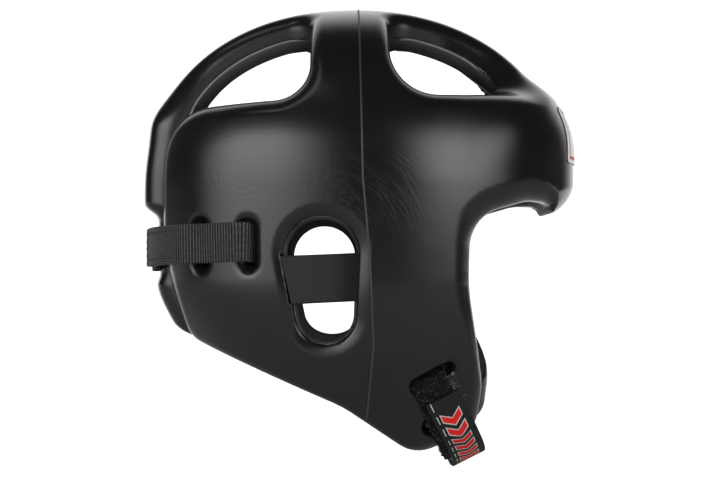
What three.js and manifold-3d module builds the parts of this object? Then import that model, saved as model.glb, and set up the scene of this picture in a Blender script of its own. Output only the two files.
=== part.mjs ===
// Head guard for sparring: one moulded foam shell with two arches over the crown, closed by webbing straps.
// Millimetres. +X is the front, +Y the wearer's left, +Z up. The origin is the inside of the crown.
import * as THREE from 'three';
import { mergeVertices } from 'three/addons/utils/BufferGeometryUtils.js';
import Module from 'manifold-3d';

const wasm = await Module();
wasm.setup();

// Driving dimensions: the outer skin of the foam, as level sections from its widest level down,
// with a dome above
const SECTIONS = [
  { z: -95, front: 126.5, back: 121.5, half: 105, wall: 26 },
  { z: -145, front: 126, back: 120.5, half: 105.5, wall: 26 },
  { z: -185, front: 120, back: 103, half: 99, wall: 24 },
  { z: -215, front: 109, back: 88, half: 89, wall: 21 },
  { z: -250, front: 92, back: 70, half: 74, wall: 18 },
];
const DOME_RISE = 109;
const FULLNESS_FRONT = 2.1;
const FULLNESS_BACK = 2.2;

// Side outline of headband, side panel and cheek, with the radius that rounds each corner
const SIDE_OUTLINE = [
  { x: -113.5, z: -49, round: 32 },
  { x: -5, z: -44, round: 5 },
  { x: 60, z: -42, round: 30 },
  { x: 150, z: -36, round: 1 },
  { x: 150, z: -78, round: 1 },
  { x: 116.5, z: -111, round: 5 },
  { x: 97, z: -98, round: 26 },
  { x: 62.5, z: -111, round: 38 },
  { x: 61.5, z: -150, round: 90 },
  { x: 71.5, z: -207, round: 34 },
  { x: 61, z: -239, round: 18 },
  { x: 32, z: -245.8, round: 20 },
  { x: -9, z: -217.5, round: 60 },
  { x: -98, z: -179, round: 16 },
  { x: -113.5, z: -124, round: 60 },
];
const OUTLINE_TURN = 12; // degrees of arc between two points of a rounded corner

// Walls and edges of the foam
const ARCH_WALL = 14;
const ARCH_TO_BAND = { from: 6, to: -14 }; // distances from the side outline between which the wall thickens
const BACK_WALL = { thick: 20, from: -60, to: -100 };
const BROW = { proud: 4, top: -30, full: -48, rear: 60, front: 110 };
const OUTER_ROUND = 9;
const INNER_ROUND = 6;
// The free end of the left cheek stands further forward than the right one
const LEFT_CHEEK = { forward: 11, top: -150, low: -200, inner: 40, outer: 60, rear: -40, front: 20 };

// The arch from ear to ear, the arch from brow to nape, and the tongue at its rear end
const LATERAL = { x: -5, half: 22.5, foot: -60 };
const FORE_AFT = { half: 29, widenTop: -20, widenLow: -60, widenRear: -40 };
const CROSS_ROUND = 14;
// Corner radius of the openings beside the arches, along X: sharp at the slits, then rear and front corners
const OPENING_ROUND = { sharp: 0.2, rear: 20, front: 28 };
const OPENING_PLACE = { sharp: -78, rearFrom: -45, rearTo: -10, front: 10 };
const TONGUE = { half: 34, proud: 6, end: -181, slit: 5.5 };
const SLIT_CUT = { rear: -145, front: -75, low: -210, top: -20 };
const GROOVE = { z: -127.5, half: 19, depth: 2.4, soft: 8, ledge: -105.5 };

// Ear hole: two circles and their common tangents, in a shallow dish
const EAR_TOP = { x: -20.6, z: -131, radius: 20.3 };
const EAR_LOW = { x: -19, z: -165.5, radius: 17.3 };
const EAR_DISH = { depth: 4, reach: 8, limit: 80 };
const EAR_ROUND = 8;
const EAR_BAND = { z: -146, height: 27, thick: 2, round: 20 };
const EAR_BAND_LINE = [{ x: -44, out: 96 }, { x: -38, out: 95 }, { x: -20, out: 90 }, { x: 5, out: 86 }];

// Webbing: width and thickness of the straps, and the air left round a strap
const REAR_WEB = { width: 22, thick: 3 };
const CHIN_WEB = { width: 20.5, thick: 2.5 };
const CLEARANCE = 0.4;
const LAYER_GAP = 0.3;
const SLOT_BEND = 3.2;
const STRAP_STEP = 6; // spacing of the points along a laid strap
const SEAM_OVERLAP = 2; // length of a strap's tail that lies in the strap itself
const SEAM_INSET = 0.4;

// Rear straps lie on a level curve round the back; a free end is placed by its distance from the other slot
const REAR = { z: -127.2, slot: 94, groove: 119.4, panel: 121.8, half: 105.9, middle: -20 };
const REAR_LOOP = { bridge: 33.5, deep: 28, secondDeep: 25 };
const REAR_END_RIGHT = 62;
const REAR_END_LEFT = 40;
const REAR_CLIMB = 12; // length over which the right strap climbs onto the left one
const REAR_GROOVE_EDGE = { inner: 20, outer: 55 };
const LINE_STEPS = 60;

// Chin straps lie in a plane that leans forward; places in it are along Y and along the downward slope
const CHIN = { x: 39.2, z: -203.3, lean: 27, bridge: 30, deep: 24, samples: 9, bow: 52.4, middle: 40 };
const CHIN_RIGHT = { side: -1, cheek: 37.4, out: 42, down: 48.9 };
const CHIN_LEFT = { side: 1, cheek: 41.4, out: 44, down: 50.4 };
const CHIN_END_RIGHT = 130;
const CHIN_END_LEFT = 15;
const CHIN_CLIMB = 30;

const PATCH = { half: 36, top: -43.5, low: -78, thick: 1.2, gap: 0.35, columns: 12, rows: 5 };
const CELL = 9.5; // size of the facets of the foam
const EVEN_ROUNDS = 3;
const FOAM_BOX = { rear: -140, front: 142, half: 120, low: -264, top: 26 };

// Shared shaping functions
function ramp(from, to, value) {
  const t = THREE.MathUtils.clamp((value - from) / (to - from), 0, 1);
  return t * t * (3 - 2 * t);
}

// Overlap of two distance fields with a rounded edge, and their union with a rounded corner
function meet(a, b, round) {
  return Math.min(-round, Math.max(a, b)) + Math.hypot(Math.max(a + round, 0), Math.max(b + round, 0));
}

function join(a, b, round) {
  return Math.max(round, Math.min(a, b)) - Math.hypot(Math.max(round - a, 0), Math.max(round - b, 0));
}

// A section's column at a height, straight between the rows and constant beyond them
function sectionAt(z, column) {
  const below = SECTIONS.findIndex((row) => row.z <= z);
  if (below === 0) return SECTIONS[0][column];
  if (below < 0) return SECTIONS.at(-1)[column];
  const [upper, lower] = [SECTIONS[below - 1], SECTIONS[below]];
  return THREE.MathUtils.mapLinear(z, upper.z, lower.z, upper[column], lower[column]);
}

// A line through corner points with each corner rounded by an arc that fits between its neighbours
function roundedLine(corners, closed) {
  const points = [];
  corners.forEach((corner, i) => {
    const isEnd = !closed && (i === 0 || i === corners.length - 1);
    if (isEnd || corner.round === 0) {
      points.push(corner.at.clone());
      return;
    }
    const before = corners.at(i - 1).at.clone().sub(corner.at);
    const after = corners[(i + 1) % corners.length].at.clone().sub(corner.at);
    const room = 0.49 * Math.min(before.length(), after.length());
    const halfAngle = before.angleTo(after) / 2;
    const cut = Math.min(corner.round / Math.tan(halfAngle), room);
    const radius = cut * Math.tan(halfAngle);
    before.normalize();
    after.normalize();
    const centre = before.clone().add(after).setLength(radius / Math.sin(halfAngle)).add(corner.at);
    const start = before.multiplyScalar(cut).add(corner.at).sub(centre);
    const end = after.multiplyScalar(cut).add(corner.at).sub(centre);
    const turn = Math.atan2(start.cross(end), start.dot(end));
    const steps = Math.max(1, Math.ceil(Math.abs(turn) / THREE.MathUtils.degToRad(OUTLINE_TURN)));
    for (let k = 0; k <= steps; k++) {
      points.push(start.clone().rotateAround(new THREE.Vector2(), (turn * k) / steps).add(centre));
    }
  });
  return points;
}

// Foam shell as a distance field: negative in the foam, zero on its surface
const OUTLINE = roundedLine(
  SIDE_OUTLINE.map((row) => ({ at: new THREE.Vector2(row.x, row.z), round: row.round })), true);

function outlineDistance(x, z) {
  let nearest = Infinity;
  let inside = false;
  OUTLINE.forEach((a, i) => {
    const b = OUTLINE.at(i - 1);
    const edge = { x: b.x - a.x, z: b.y - a.y };
    const length = edge.x ** 2 + edge.z ** 2;
    const t = length && THREE.MathUtils.clamp(((x - a.x) * edge.x + (z - a.y) * edge.z) / length, 0, 1);
    nearest = Math.min(nearest, Math.hypot(x - a.x - t * edge.x, z - a.y - t * edge.z));
    if (a.y > z !== b.y > z && x < a.x + ((z - a.y) / edge.z) * edge.x) inside = !inside;
  });
  return inside ? -nearest : nearest;
}

// Size of a point relative to the skin: 1 on the skin, from the superellipse of its level and the dome above
function skinRatio(x, y, z, proud) {
  const power = x > 0 ? FULLNESS_FRONT : FULLNESS_BACK;
  const reach = x > 0 ? sectionAt(z, 'front') : sectionAt(z, 'back') + proud;
  const up = Math.max(z - SECTIONS[0].z, 0) / DOME_RISE;
  const sum = Math.abs(x / reach) ** power + Math.abs(y / sectionAt(z, 'half')) ** power + up ** power;
  return sum ** (1 / power);
}

function skinDistance(x, y, z, proud) {
  const h = 0.5;
  const ratio = skinRatio(x, y, z, proud);
  const slope = Math.hypot(
    skinRatio(x + h, y, z, proud) - ratio,
    skinRatio(x, y + h, z, proud) - ratio,
    skinRatio(x, y, z + h, proud) - ratio);
  return ((ratio - 1) * h) / Math.max(slope, 1e-4);
}

function earDistance(x, z) {
  const axis = new THREE.Vector2(EAR_LOW.x - EAR_TOP.x, EAR_LOW.z - EAR_TOP.z);
  const length = axis.length();
  axis.normalize();
  const across = Math.abs((x - EAR_TOP.x) * axis.y - (z - EAR_TOP.z) * axis.x);
  const down = (x - EAR_TOP.x) * axis.x + (z - EAR_TOP.z) * axis.y;
  const taper = (EAR_TOP.radius - EAR_LOW.radius) / length;
  const flank = Math.sqrt(1 - taper ** 2);
  const place = flank * down - taper * across;
  if (place < 0) return Math.hypot(across, down) - EAR_TOP.radius;
  if (place > flank * length) return Math.hypot(across, down - length) - EAR_LOW.radius;
  return across * flank + down * taper - EAR_TOP.radius;
}

function foam(worldX, y, z) {
  const side = Math.abs(y);
  const { forward, top, low, inner: near, outer: far } = LEFT_CHEEK;
  const onLeft = ramp(near, far, y) * ramp(LEFT_CHEEK.rear, LEFT_CHEEK.front, worldX);
  const x = worldX - forward * onLeft * ramp(top, low, z);
  const slitOut = TONGUE.half + TONGUE.slit;
  const onTongue = x < 0 ? ramp(slitOut, TONGUE.half, side) : 0;
  const aboveGroove = ramp(GROOVE.ledge - GROOVE.soft / 2, GROOVE.ledge + GROOVE.soft / 2, z);
  const base = skinDistance(x, y, z, TONGUE.proud * onTongue * aboveGroove);
  const band = outlineDistance(x, z);
  const hole = earDistance(x, z);

  const brow = BROW.proud * ramp(BROW.top, BROW.full, z) * ramp(BROW.rear, BROW.front, x);
  const inGroove = ramp(GROOVE.half + GROOVE.soft / 2, GROOVE.half - GROOVE.soft / 2, Math.abs(z - GROOVE.z));
  const nearEar = Math.abs(x) < EAR_DISH.limit ? Math.exp(-((Math.max(hole, 0) / EAR_DISH.reach) ** 2)) : 0;
  const outer = base - brow + GROOVE.depth * inGroove * onTongue + EAR_DISH.depth * nearEar;

  const thinning = (SECTIONS[0].wall - BACK_WALL.thick) * ramp(BACK_WALL.from, BACK_WALL.to, x);
  const inBand = ramp(ARCH_TO_BAND.from, ARCH_TO_BAND.to, band);
  const wall = THREE.MathUtils.lerp(ARCH_WALL, sectionAt(z, 'wall') - thinning, inBand);

  const lateral = Math.max(Math.abs(x - LATERAL.x) - LATERAL.half, LATERAL.foot - z);
  const widening = ramp(FORE_AFT.widenTop, FORE_AFT.widenLow, z) * ramp(0, FORE_AFT.widenRear, x);
  const foreAftHalf = THREE.MathUtils.lerp(FORE_AFT.half, TONGUE.half, widening);
  const foreAft = Math.max(side - foreAftHalf, (x < 0 ? TONGUE.end : LATERAL.foot) - z);
  const { sharp, rear, front } = OPENING_ROUND;
  const toRear = ramp(OPENING_PLACE.sharp, OPENING_PLACE.rearFrom, x);
  const toFront = ramp(OPENING_PLACE.rearTo, OPENING_PLACE.front, x);
  const openingRound = sharp + (rear - sharp) * toRear + (front - rear) * toFront;
  const region = join(join(lateral, foreAft, CROSS_ROUND), band, openingRound);

  const edged = meet(outer, region, OUTER_ROUND);
  const hollowed = meet(edged, -(base + wall), INNER_ROUND);
  return meet(hollowed, -hole, EAR_ROUND);
}

// Faceted surface of a field: a vertex for each sheet of the surface in a grid cell, and a quad on each
// grid edge that the surface crosses. A corner of a cell is a number whose bits are its steps along X, Y
// and Z, and an edge is its lower corner and its axis.
function facets(field, low, counts, cell) {
  const at = (i, j, k) => (i * counts[1] + j) * counts[2] + k;
  const place = (i, j, k) => new THREE.Vector3(low[0] + i * cell, low[1] + j * cell, low[2] + k * cell);
  const corner = (i, j, k, bits) => [i + (bits & 1), j + ((bits >> 1) & 1), k + ((bits >> 2) & 1)];
  const edgeName = (bits, axis) => bits * 3 + axis;
  const value = new Float64Array(counts[0] * counts[1] * counts[2]);
  const verticesOf = new Map();
  const positions = [];
  const index = [];
  for (let i = 0; i < counts[0]; i++) {
    for (let j = 0; j < counts[1]; j++) {
      for (let k = 0; k < counts[2]; k++) value[at(i, j, k)] = field(...place(i, j, k));
    }
  }

  // Crossings that meet across a face are of one sheet; where a face has four, foam corners stay apart
  function sheetsOfCell(inside) {
    const sheets = new Map();
    const unite = (one, other) => {
      const [from, to] = [sheets.get(one), sheets.get(other)];
      for (const [edge, sheet] of sheets) if (sheet === from) sheets.set(edge, to);
    };
    for (let bits = 0; bits < 8; bits++) {
      for (let axis = 0; axis < 3; axis++) {
        const crossed = !(bits & (1 << axis)) && inside[bits] !== inside[bits | (1 << axis)];
        if (crossed) sheets.set(edgeName(bits, axis), edgeName(bits, axis));
      }
    }
    for (let axis = 0; axis < 3; axis++) {
      const [u, v] = [(axis + 1) % 3, (axis + 2) % 3];
      for (const side of [0, 1 << axis]) {
        const ring = [side, side | (1 << u), side | (1 << u) | (1 << v), side | (1 << v)];
        const rim = [edgeName(side, u), edgeName(ring[1], v), edgeName(ring[3], u), edgeName(side, v)];
        const crossed = rim.filter((edge) => sheets.has(edge));
        if (crossed.length === 2) unite(...crossed);
        if (crossed.length === 4) ring.forEach((bits, r) => inside[bits] && unite(rim[r], rim[(r + 3) % 4]));
      }
    }
    return sheets;
  }

  // Vertex of the sheet that crosses an edge of a cell: the middle of its crossings, moved onto the surface
  function cellVertex(i, j, k, bits, axis) {
    const key = at(i, j, k);
    if (!verticesOf.has(key)) {
      const values = Array.from({ length: 8 }, (_, b) => value[at(...corner(i, j, k, b))]);
      const sheets = sheetsOfCell(values.map((v) => v < 0));
      const vertices = new Map();
      for (const sheet of new Set(sheets.values())) {
        const edges = [...sheets.keys()].filter((edge) => sheets.get(edge) === sheet);
        const middle = new THREE.Vector3();
        for (const edge of edges) {
          const from = Math.floor(edge / 3);
          const to = from | (1 << edge % 3);
          const share = values[from] / (values[from] - values[to]);
          middle.add(place(...corner(i, j, k, from)).lerp(place(...corner(i, j, k, to)), share));
        }
        const vertex = settle(field, middle.divideScalar(edges.length), cell);
        edges.forEach((edge) => vertices.set(edge, positions.length / 3));
        positions.push(...vertex);
      }
      verticesOf.set(key, vertices);
    }
    return verticesOf.get(key).get(edgeName(bits, axis));
  }

  for (let i = 1; i < counts[0] - 1; i++) {
    for (let j = 1; j < counts[1] - 1; j++) {
      for (let k = 1; k < counts[2] - 1; k++) {
        for (let axis = 0; axis < 3; axis++) {
          const here = value[at(i, j, k)] < 0;
          const there = value[at(...corner(i, j, k, 1 << axis))] < 0;
          if (here === there) continue;
          const [u, v] = [1 << (axis + 1) % 3, 1 << (axis + 2) % 3];
          const ring = [0, u, u | v, v].map((bits) =>
            cellVertex(i - (bits & 1), j - ((bits >> 1) & 1), k - ((bits >> 2) & 1), bits, axis));
          const [a, b, c, d] = here ? ring : ring.reverse();
          index.push(a, b, c, a, c, d);
        }
      }
    }
  }
  for (let round = 0; round < EVEN_ROUNDS; round++) evenOut(field, positions, index, cell);
  const geometry = new THREE.BufferGeometry();
  geometry.setAttribute('position', new THREE.Float32BufferAttribute(positions, 3));
  geometry.setIndex(index);
  return geometry;
}

// Vertices moved halfway to the middle of their neighbours and back onto the surface, for facets of like size
function evenOut(field, positions, index, cell) {
  const sums = Array.from({ length: positions.length / 3 }, () => new THREE.Vector3());
  const counts = new Uint32Array(sums.length);
  const point = (n) => new THREE.Vector3().fromArray(positions, 3 * n);
  index.forEach((vertex, n) => {
    const first = n - (n % 3);
    for (const step of [1, 2]) sums[vertex].add(point(index[first + ((n + step) % 3)]));
    counts[vertex] += 2;
  });
  const moved = sums.map((sum, n) => settle(field, point(n).lerp(sum.divideScalar(counts[n]), 0.5), cell));
  moved.forEach((place, n) => place.toArray(positions, 3 * n));
}

// A point near the surface moved onto it along the slope of the field
function settle(field, point, limit) {
  const h = 0.2;
  for (let round = 0; round < 4; round++) {
    const here = field(point.x, point.y, point.z);
    const slope = new THREE.Vector3(
      field(point.x + h, point.y, point.z) - here,
      field(point.x, point.y + h, point.z) - here,
      field(point.x, point.y, point.z + h) - here).divideScalar(h);
    const travel = THREE.MathUtils.clamp(here / Math.max(slope.lengthSq(), 0.2), -limit / 2, limit / 2);
    point.addScaledVector(slope, -travel);
  }
  return point;
}

// Between three.js geometry and the solids that are joined and cut
function toSolid(geometry) {
  const bare = geometry.clone();
  bare.deleteAttribute('normal');
  bare.deleteAttribute('uv');
  const merged = mergeVertices(bare);
  return new wasm.Manifold(new wasm.Mesh({
    numProp: 3,
    vertProperties: new Float32Array(merged.attributes.position.array),
    triVerts: new Uint32Array(merged.index.array),
  }));
}

function toGeometry(solid) {
  const mesh = solid.getMesh();
  const geometry = new THREE.BufferGeometry();
  geometry.setAttribute('position', new THREE.BufferAttribute(mesh.vertProperties, 3));
  geometry.setIndex(new THREE.BufferAttribute(mesh.triVerts, 1));
  geometry.computeVertexNormals();
  return geometry;
}

// Straps: an edge-on outline along a line in a plane, extruded over the strap's width
function lineNormal(line, i) {
  const ahead = line[Math.min(i + 1, line.length - 1)];
  const behind = line[Math.max(i - 1, 0)];
  const along = ahead.clone().sub(behind).normalize();
  return new THREE.Vector2(-along.y, along.x);
}

function ribbon(line, thick, width) {
  const left = line.map((point, i) => point.clone().addScaledVector(lineNormal(line, i), thick / 2));
  const right = line.map((point, i) => point.clone().addScaledVector(lineNormal(line, i), -thick / 2));
  const outline = new THREE.Shape([...left, ...right.reverse()]);
  const geometry = new THREE.ExtrudeGeometry(outline, { depth: width, bevelEnabled: false });
  return geometry.translate(0, 0, -width / 2);
}

// Point of a line at a distance back from its end, with the normal that points away from the body's middle
function placeFromEnd(line, distance, centre) {
  let i = line.length - 1;
  let left = distance;
  while (i > 1 && line[i].distanceTo(line[i - 1]) < left) {
    left -= line[i].distanceTo(line[i - 1]);
    i -= 1;
  }
  const at = line[i].clone().lerp(line[i - 1], left / line[i].distanceTo(line[i - 1]));
  const normal = lineNormal(line, i);
  if (normal.dot(at.clone().sub(centre)) < 0) normal.negate();
  return { at, normal };
}

// A strap laid outside a base line that ends at its first slot: in there, behind the foam bridge, out of the
// second slot and sewn to its own back. Gives the strap and the room that its loop needs in the foam.
function loopedStrap({ base, centre, reach, bridge, deep, secondDeep, width, thick, raised }) {
  const lift = CLEARANCE + thick / 2;
  const count = Math.round(reach / STRAP_STEP);
  const laid = Array.from({ length: count + 1 }, (_, i) => {
    const distance = reach * (1 - i / count);
    const { at, normal } = placeFromEnd(base, distance, centre);
    return { at: at.addScaledVector(normal, lift + raised(distance)), round: 0 };
  });
  laid.at(-1).round = SLOT_BEND;
  const first = placeFromEnd(base, 0, centre);
  const second = placeFromEnd(base, bridge, centre);
  const inFirst = first.at.clone().addScaledVector(first.normal, -deep);
  const inSecond = second.at.clone().addScaledVector(second.normal, -secondDeep);
  const midSecond = second.at.clone().addScaledVector(second.normal, -secondDeep / 2);
  const outSecond = second.at.clone().addScaledVector(second.normal, lift);
  const loop = [{ at: inFirst, round: SLOT_BEND }, { at: inSecond, round: SLOT_BEND }];
  const main = roundedLine([...laid, ...loop, { at: midSecond, round: 0 }], false);
  const tail = [midSecond.clone().addScaledVector(second.normal, -SEAM_OVERLAP), outSecond];
  const room = roundedLine([...laid.slice(-2), ...loop, { at: outSecond, round: 0 }], false);
  const mainSolid = toSolid(ribbon(main, thick, width));
  const tailSolid = toSolid(ribbon(tail, thick - SEAM_INSET, width));
  return {
    strap: mainSolid.add(tailSolid),
    room: toSolid(ribbon(room, thick + 2 * CLEARANCE, width + 2 * CLEARANCE)),
  };
}

// Rear straps, in plan: a superellipse round the back that sits deeper in the groove of the tongue
function rearBase(side) {
  const start = Math.asin(REAR.slot / REAR.half);
  return Array.from({ length: LINE_STEPS + 1 }, (_, i) => {
    const y = REAR.half * Math.sin(start * ((2 * i) / LINE_STEPS - 1));
    const onPanel = ramp(REAR_GROOVE_EDGE.inner, REAR_GROOVE_EDGE.outer, Math.abs(y));
    const reach = THREE.MathUtils.lerp(REAR.groove, REAR.panel, onPanel);
    const x = -reach * (1 - Math.abs(y / REAR.half) ** FULLNESS_BACK) ** (1 / FULLNESS_BACK);
    return new THREE.Vector2(x, side * y);
  });
}

function lineLength(line) {
  return line.slice(1).reduce((sum, point, i) => sum + point.distanceTo(line[i]), 0);
}

function rearStrap(side, reach, raised) {
  return loopedStrap({
    base: rearBase(side),
    centre: new THREE.Vector2(REAR.middle, 0),
    ...REAR_LOOP,
    ...REAR_WEB,
    reach,
    raised,
  });
}

// Chin straps, in the leaning plane: down the cheek, where the widest part of the foam under the strap
// carries it, and in a flat bow under the chin
const chinLean = THREE.MathUtils.degToRad(CHIN.lean);
const CHIN_DOWN = new THREE.Vector3(Math.sin(chinLean), 0, -Math.cos(chinLean));
const CHIN_ACROSS = new THREE.Vector3(Math.cos(chinLean), 0, Math.sin(chinLean));
const CHIN_SLOT = new THREE.Vector3(CHIN.x, 0, CHIN.z);

function cheekOut(side, down) {
  const offsets = [-0.5, -0.25, 0, 0.25, 0.5].map((share) => share * CHIN_WEB.width);
  const outs = offsets.map((offset) => {
    const point = CHIN_SLOT.clone().addScaledVector(CHIN_DOWN, down).addScaledVector(CHIN_ACROSS, offset);
    let out = SECTIONS[0].half;
    while (out > 0 && foam(point.x, side * out, point.z) > 0) out -= 0.25;
    return out;
  });
  return Math.max(...outs);
}

function cheekLine({ side, cheek, out, down }) {
  const downs = Array.from({ length: CHIN.samples }, (_, i) => (cheek * i) / (CHIN.samples - 1));
  const line = downs.map((place) => new THREE.Vector2(side * cheekOut(side, place), -place));
  return [...line, new THREE.Vector2(side * out, -down)];
}

function chinBase(own, other) {
  const bow = [...cheekLine(other), new THREE.Vector2(0, -CHIN.bow), ...cheekLine(own).reverse()];
  return new THREE.SplineCurve(bow).getSpacedPoints(LINE_STEPS);
}

function chinStrap(own, other, reach, raised) {
  return loopedStrap({
    base: chinBase(own, other),
    centre: new THREE.Vector2(0, CHIN.middle),
    bridge: CHIN.bridge,
    deep: CHIN.deep,
    secondDeep: CHIN.deep,
    ...CHIN_WEB,
    reach,
    raised,
  });
}

// Ear band: an elastic strip across the hole, its ends let into the rim
function earBand(side, grow) {
  const corners = EAR_BAND_LINE.map((row) => {
    return { at: new THREE.Vector2(row.x, side * row.out), round: EAR_BAND.round };
  });
  const strip = ribbon(roundedLine(corners, false), EAR_BAND.thick + 2 * grow, EAR_BAND.height + 2 * grow);
  return strip.translate(0, 0, EAR_BAND.z);
}

// Forehead patch: a thin plate that follows the foam at a small gap
function patchGeometry() {
  const positions = [];
  const index = [];
  const columns = PATCH.columns + 1;
  const perFace = columns * (PATCH.rows + 1);
  for (const level of [PATCH.gap, PATCH.gap + PATCH.thick]) {
    for (let row = 0; row <= PATCH.rows; row++) {
      for (let column = 0; column <= PATCH.columns; column++) {
        const y = PATCH.half * ((2 * column) / PATCH.columns - 1);
        const z = THREE.MathUtils.lerp(PATCH.low, PATCH.top, row / PATCH.rows);
        const raised = (px, py, pz) => foam(px, py, pz) - level;
        const point = settle(raised, new THREE.Vector3(SECTIONS[0].front, y, z), CELL);
        positions.push(point.x, point.y, point.z);
      }
    }
  }
  const quad = (a, b, c, d) => index.push(a, b, c, a, c, d);
  for (let row = 0; row < PATCH.rows; row++) {
    for (let column = 0; column < PATCH.columns; column++) {
      const a = row * columns + column;
      quad(a, a + columns, a + columns + 1, a + 1);
      quad(perFace + a, perFace + a + 1, perFace + a + columns + 1, perFace + a + columns);
    }
  }
  const rim = [];
  for (let column = 0; column < PATCH.columns; column++) rim.push(column);
  for (let row = 0; row < PATCH.rows; row++) rim.push(row * columns + PATCH.columns);
  for (let column = PATCH.columns; column > 0; column--) rim.push(PATCH.rows * columns + column);
  for (let row = PATCH.rows; row > 0; row--) rim.push(row * columns);
  rim.forEach((a, i) => {
    const b = rim[(i + 1) % rim.length];
    quad(a, b, perFace + b, perFace + a);
  });
  const geometry = new THREE.BufferGeometry();
  geometry.setAttribute('position', new THREE.Float32BufferAttribute(positions, 3));
  geometry.setIndex(index);
  return geometry;
}

// Assembly: straps first, because the foam has the room for their loops
const rearLength = lineLength(rearBase(1));
const chinLength = lineLength(chinBase(CHIN_LEFT, CHIN_RIGHT));
const overRear = (distance) =>
  (REAR_WEB.thick + LAYER_GAP) * ramp(REAR_END_LEFT - REAR_CLIMB, REAR_END_LEFT, distance);
const overChin = (distance) =>
  (CHIN_WEB.thick + LAYER_GAP) * ramp(CHIN_END_RIGHT - CHIN_CLIMB, CHIN_END_RIGHT, distance);
const flat = () => 0;

const rearRight = rearStrap(-1, rearLength - REAR_END_RIGHT, overRear);
const rearLeft = rearStrap(1, rearLength - REAR_END_LEFT, flat);
const chinRight = chinStrap(CHIN_RIGHT, CHIN_LEFT, chinLength - CHIN_END_RIGHT, flat);
const chinLeft = chinStrap(CHIN_LEFT, CHIN_RIGHT, chinLength - CHIN_END_LEFT, overChin);
const rearFrame = new THREE.Matrix4().makeTranslation(0, 0, REAR.z);
const chinFrame = new THREE.Matrix4()
  .makeBasis(new THREE.Vector3(0, 1, 0), CHIN_DOWN.clone().negate(), CHIN_ACROSS)
  .setPosition(CHIN_SLOT);
const placed = (solid, frame) => toGeometry(solid).applyMatrix4(frame);

function foamGeometry() {
  const cells = (length) => Math.ceil(length / CELL);
  const low = [FOAM_BOX.rear, -cells(FOAM_BOX.half) * CELL, FOAM_BOX.low];
  const counts = [
    cells(FOAM_BOX.front - FOAM_BOX.rear) + 1,
    2 * cells(FOAM_BOX.half) + 1,
    cells(FOAM_BOX.top - FOAM_BOX.low) + 1,
  ];
  let solid = toSolid(facets(foam, low, counts, CELL));
  for (const side of [-1, 1]) {
    const slitSize = [SLIT_CUT.front - SLIT_CUT.rear, TONGUE.slit, SLIT_CUT.top - SLIT_CUT.low];
    const slit = new THREE.BoxGeometry(...slitSize);
    const slitY = side * (TONGUE.half + TONGUE.slit / 2);
    slit.translate((SLIT_CUT.front + SLIT_CUT.rear) / 2, slitY, (SLIT_CUT.top + SLIT_CUT.low) / 2);
    solid = solid.subtract(toSolid(slit)).subtract(toSolid(earBand(side, CLEARANCE)));
  }
  for (const { room } of [rearRight, rearLeft]) solid = solid.subtract(toSolid(placed(room, rearFrame)));
  for (const { room } of [chinRight, chinLeft]) solid = solid.subtract(toSolid(placed(room, chinFrame)));
  return toGeometry(solid);
}

const foamFinish = new THREE.MeshStandardMaterial({ color: 0x121214, roughness: 0.4, metalness: 0 });
const webbingFinish = new THREE.MeshStandardMaterial({ color: 0x1a1a1c, roughness: 0.85, metalness: 0 });
const elasticFinish = new THREE.MeshStandardMaterial({ color: 0x202022, roughness: 0.8, metalness: 0 });
const patchFinish = new THREE.MeshStandardMaterial({ color: 0xe6e6e2, roughness: 0.6, metalness: 0 });

const headGuard = new THREE.Group();
function addPiece(name, geometry, material) {
  const mesh = new THREE.Mesh(geometry, material);
  mesh.name = name;
  headGuard.add(mesh);
}

addPiece('foam_shell', foamGeometry(), foamFinish);
addPiece('rear_strap_right', placed(rearRight.strap, rearFrame), webbingFinish);
addPiece('rear_strap_left', placed(rearLeft.strap, rearFrame), webbingFinish);
addPiece('ear_band_right', earBand(-1, 0), elasticFinish);
addPiece('ear_band_left', earBand(1, 0), elasticFinish);
addPiece('chin_strap_right', placed(chinRight.strap, chinFrame), webbingFinish);
addPiece('chin_strap_left', placed(chinLeft.strap, chinFrame), webbingFinish);
addPiece('forehead_patch', patchGeometry(), patchFinish);

export default headGuard;
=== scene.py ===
import bpy
import numpy as np
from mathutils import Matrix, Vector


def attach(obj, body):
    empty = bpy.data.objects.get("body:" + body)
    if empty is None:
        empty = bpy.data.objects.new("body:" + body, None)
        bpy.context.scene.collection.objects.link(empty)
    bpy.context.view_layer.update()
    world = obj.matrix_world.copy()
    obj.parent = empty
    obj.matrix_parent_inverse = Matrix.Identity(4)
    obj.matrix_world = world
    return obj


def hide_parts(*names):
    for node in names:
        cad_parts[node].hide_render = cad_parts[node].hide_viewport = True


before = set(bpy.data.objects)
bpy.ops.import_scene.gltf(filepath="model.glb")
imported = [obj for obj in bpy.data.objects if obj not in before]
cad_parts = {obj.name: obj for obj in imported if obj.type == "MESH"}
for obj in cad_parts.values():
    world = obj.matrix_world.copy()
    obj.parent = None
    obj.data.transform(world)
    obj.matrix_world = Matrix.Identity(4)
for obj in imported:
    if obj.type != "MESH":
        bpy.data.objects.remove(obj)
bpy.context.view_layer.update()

# Foam shell
# The body of the guard, in one piece: black polyurethane foam with a closed, half-glossy skin, poured into a
# mould. It has two arches over the crown, a free tongue at the back, ear holes and slots for the straps.
MM = 0.001
LEVELS = np.array([-95.0, -145, -185, -215, -250])
FRONT_REACH = np.array([126.5, 126, 120, 109, 92])
BACK_REACH = np.array([121.5, 120.5, 103, 88, 70])
HALF_WIDTH = np.array([105, 103.8, 98.2, 89, 74])
BAND_WALL = np.array([26.0, 26, 24, 21, 18])
DOME_RISE = 109
FRONT_POWER, BACK_POWER, POWER_CHANGE_X = 2.1, 2.2, (-40, 40)
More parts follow.
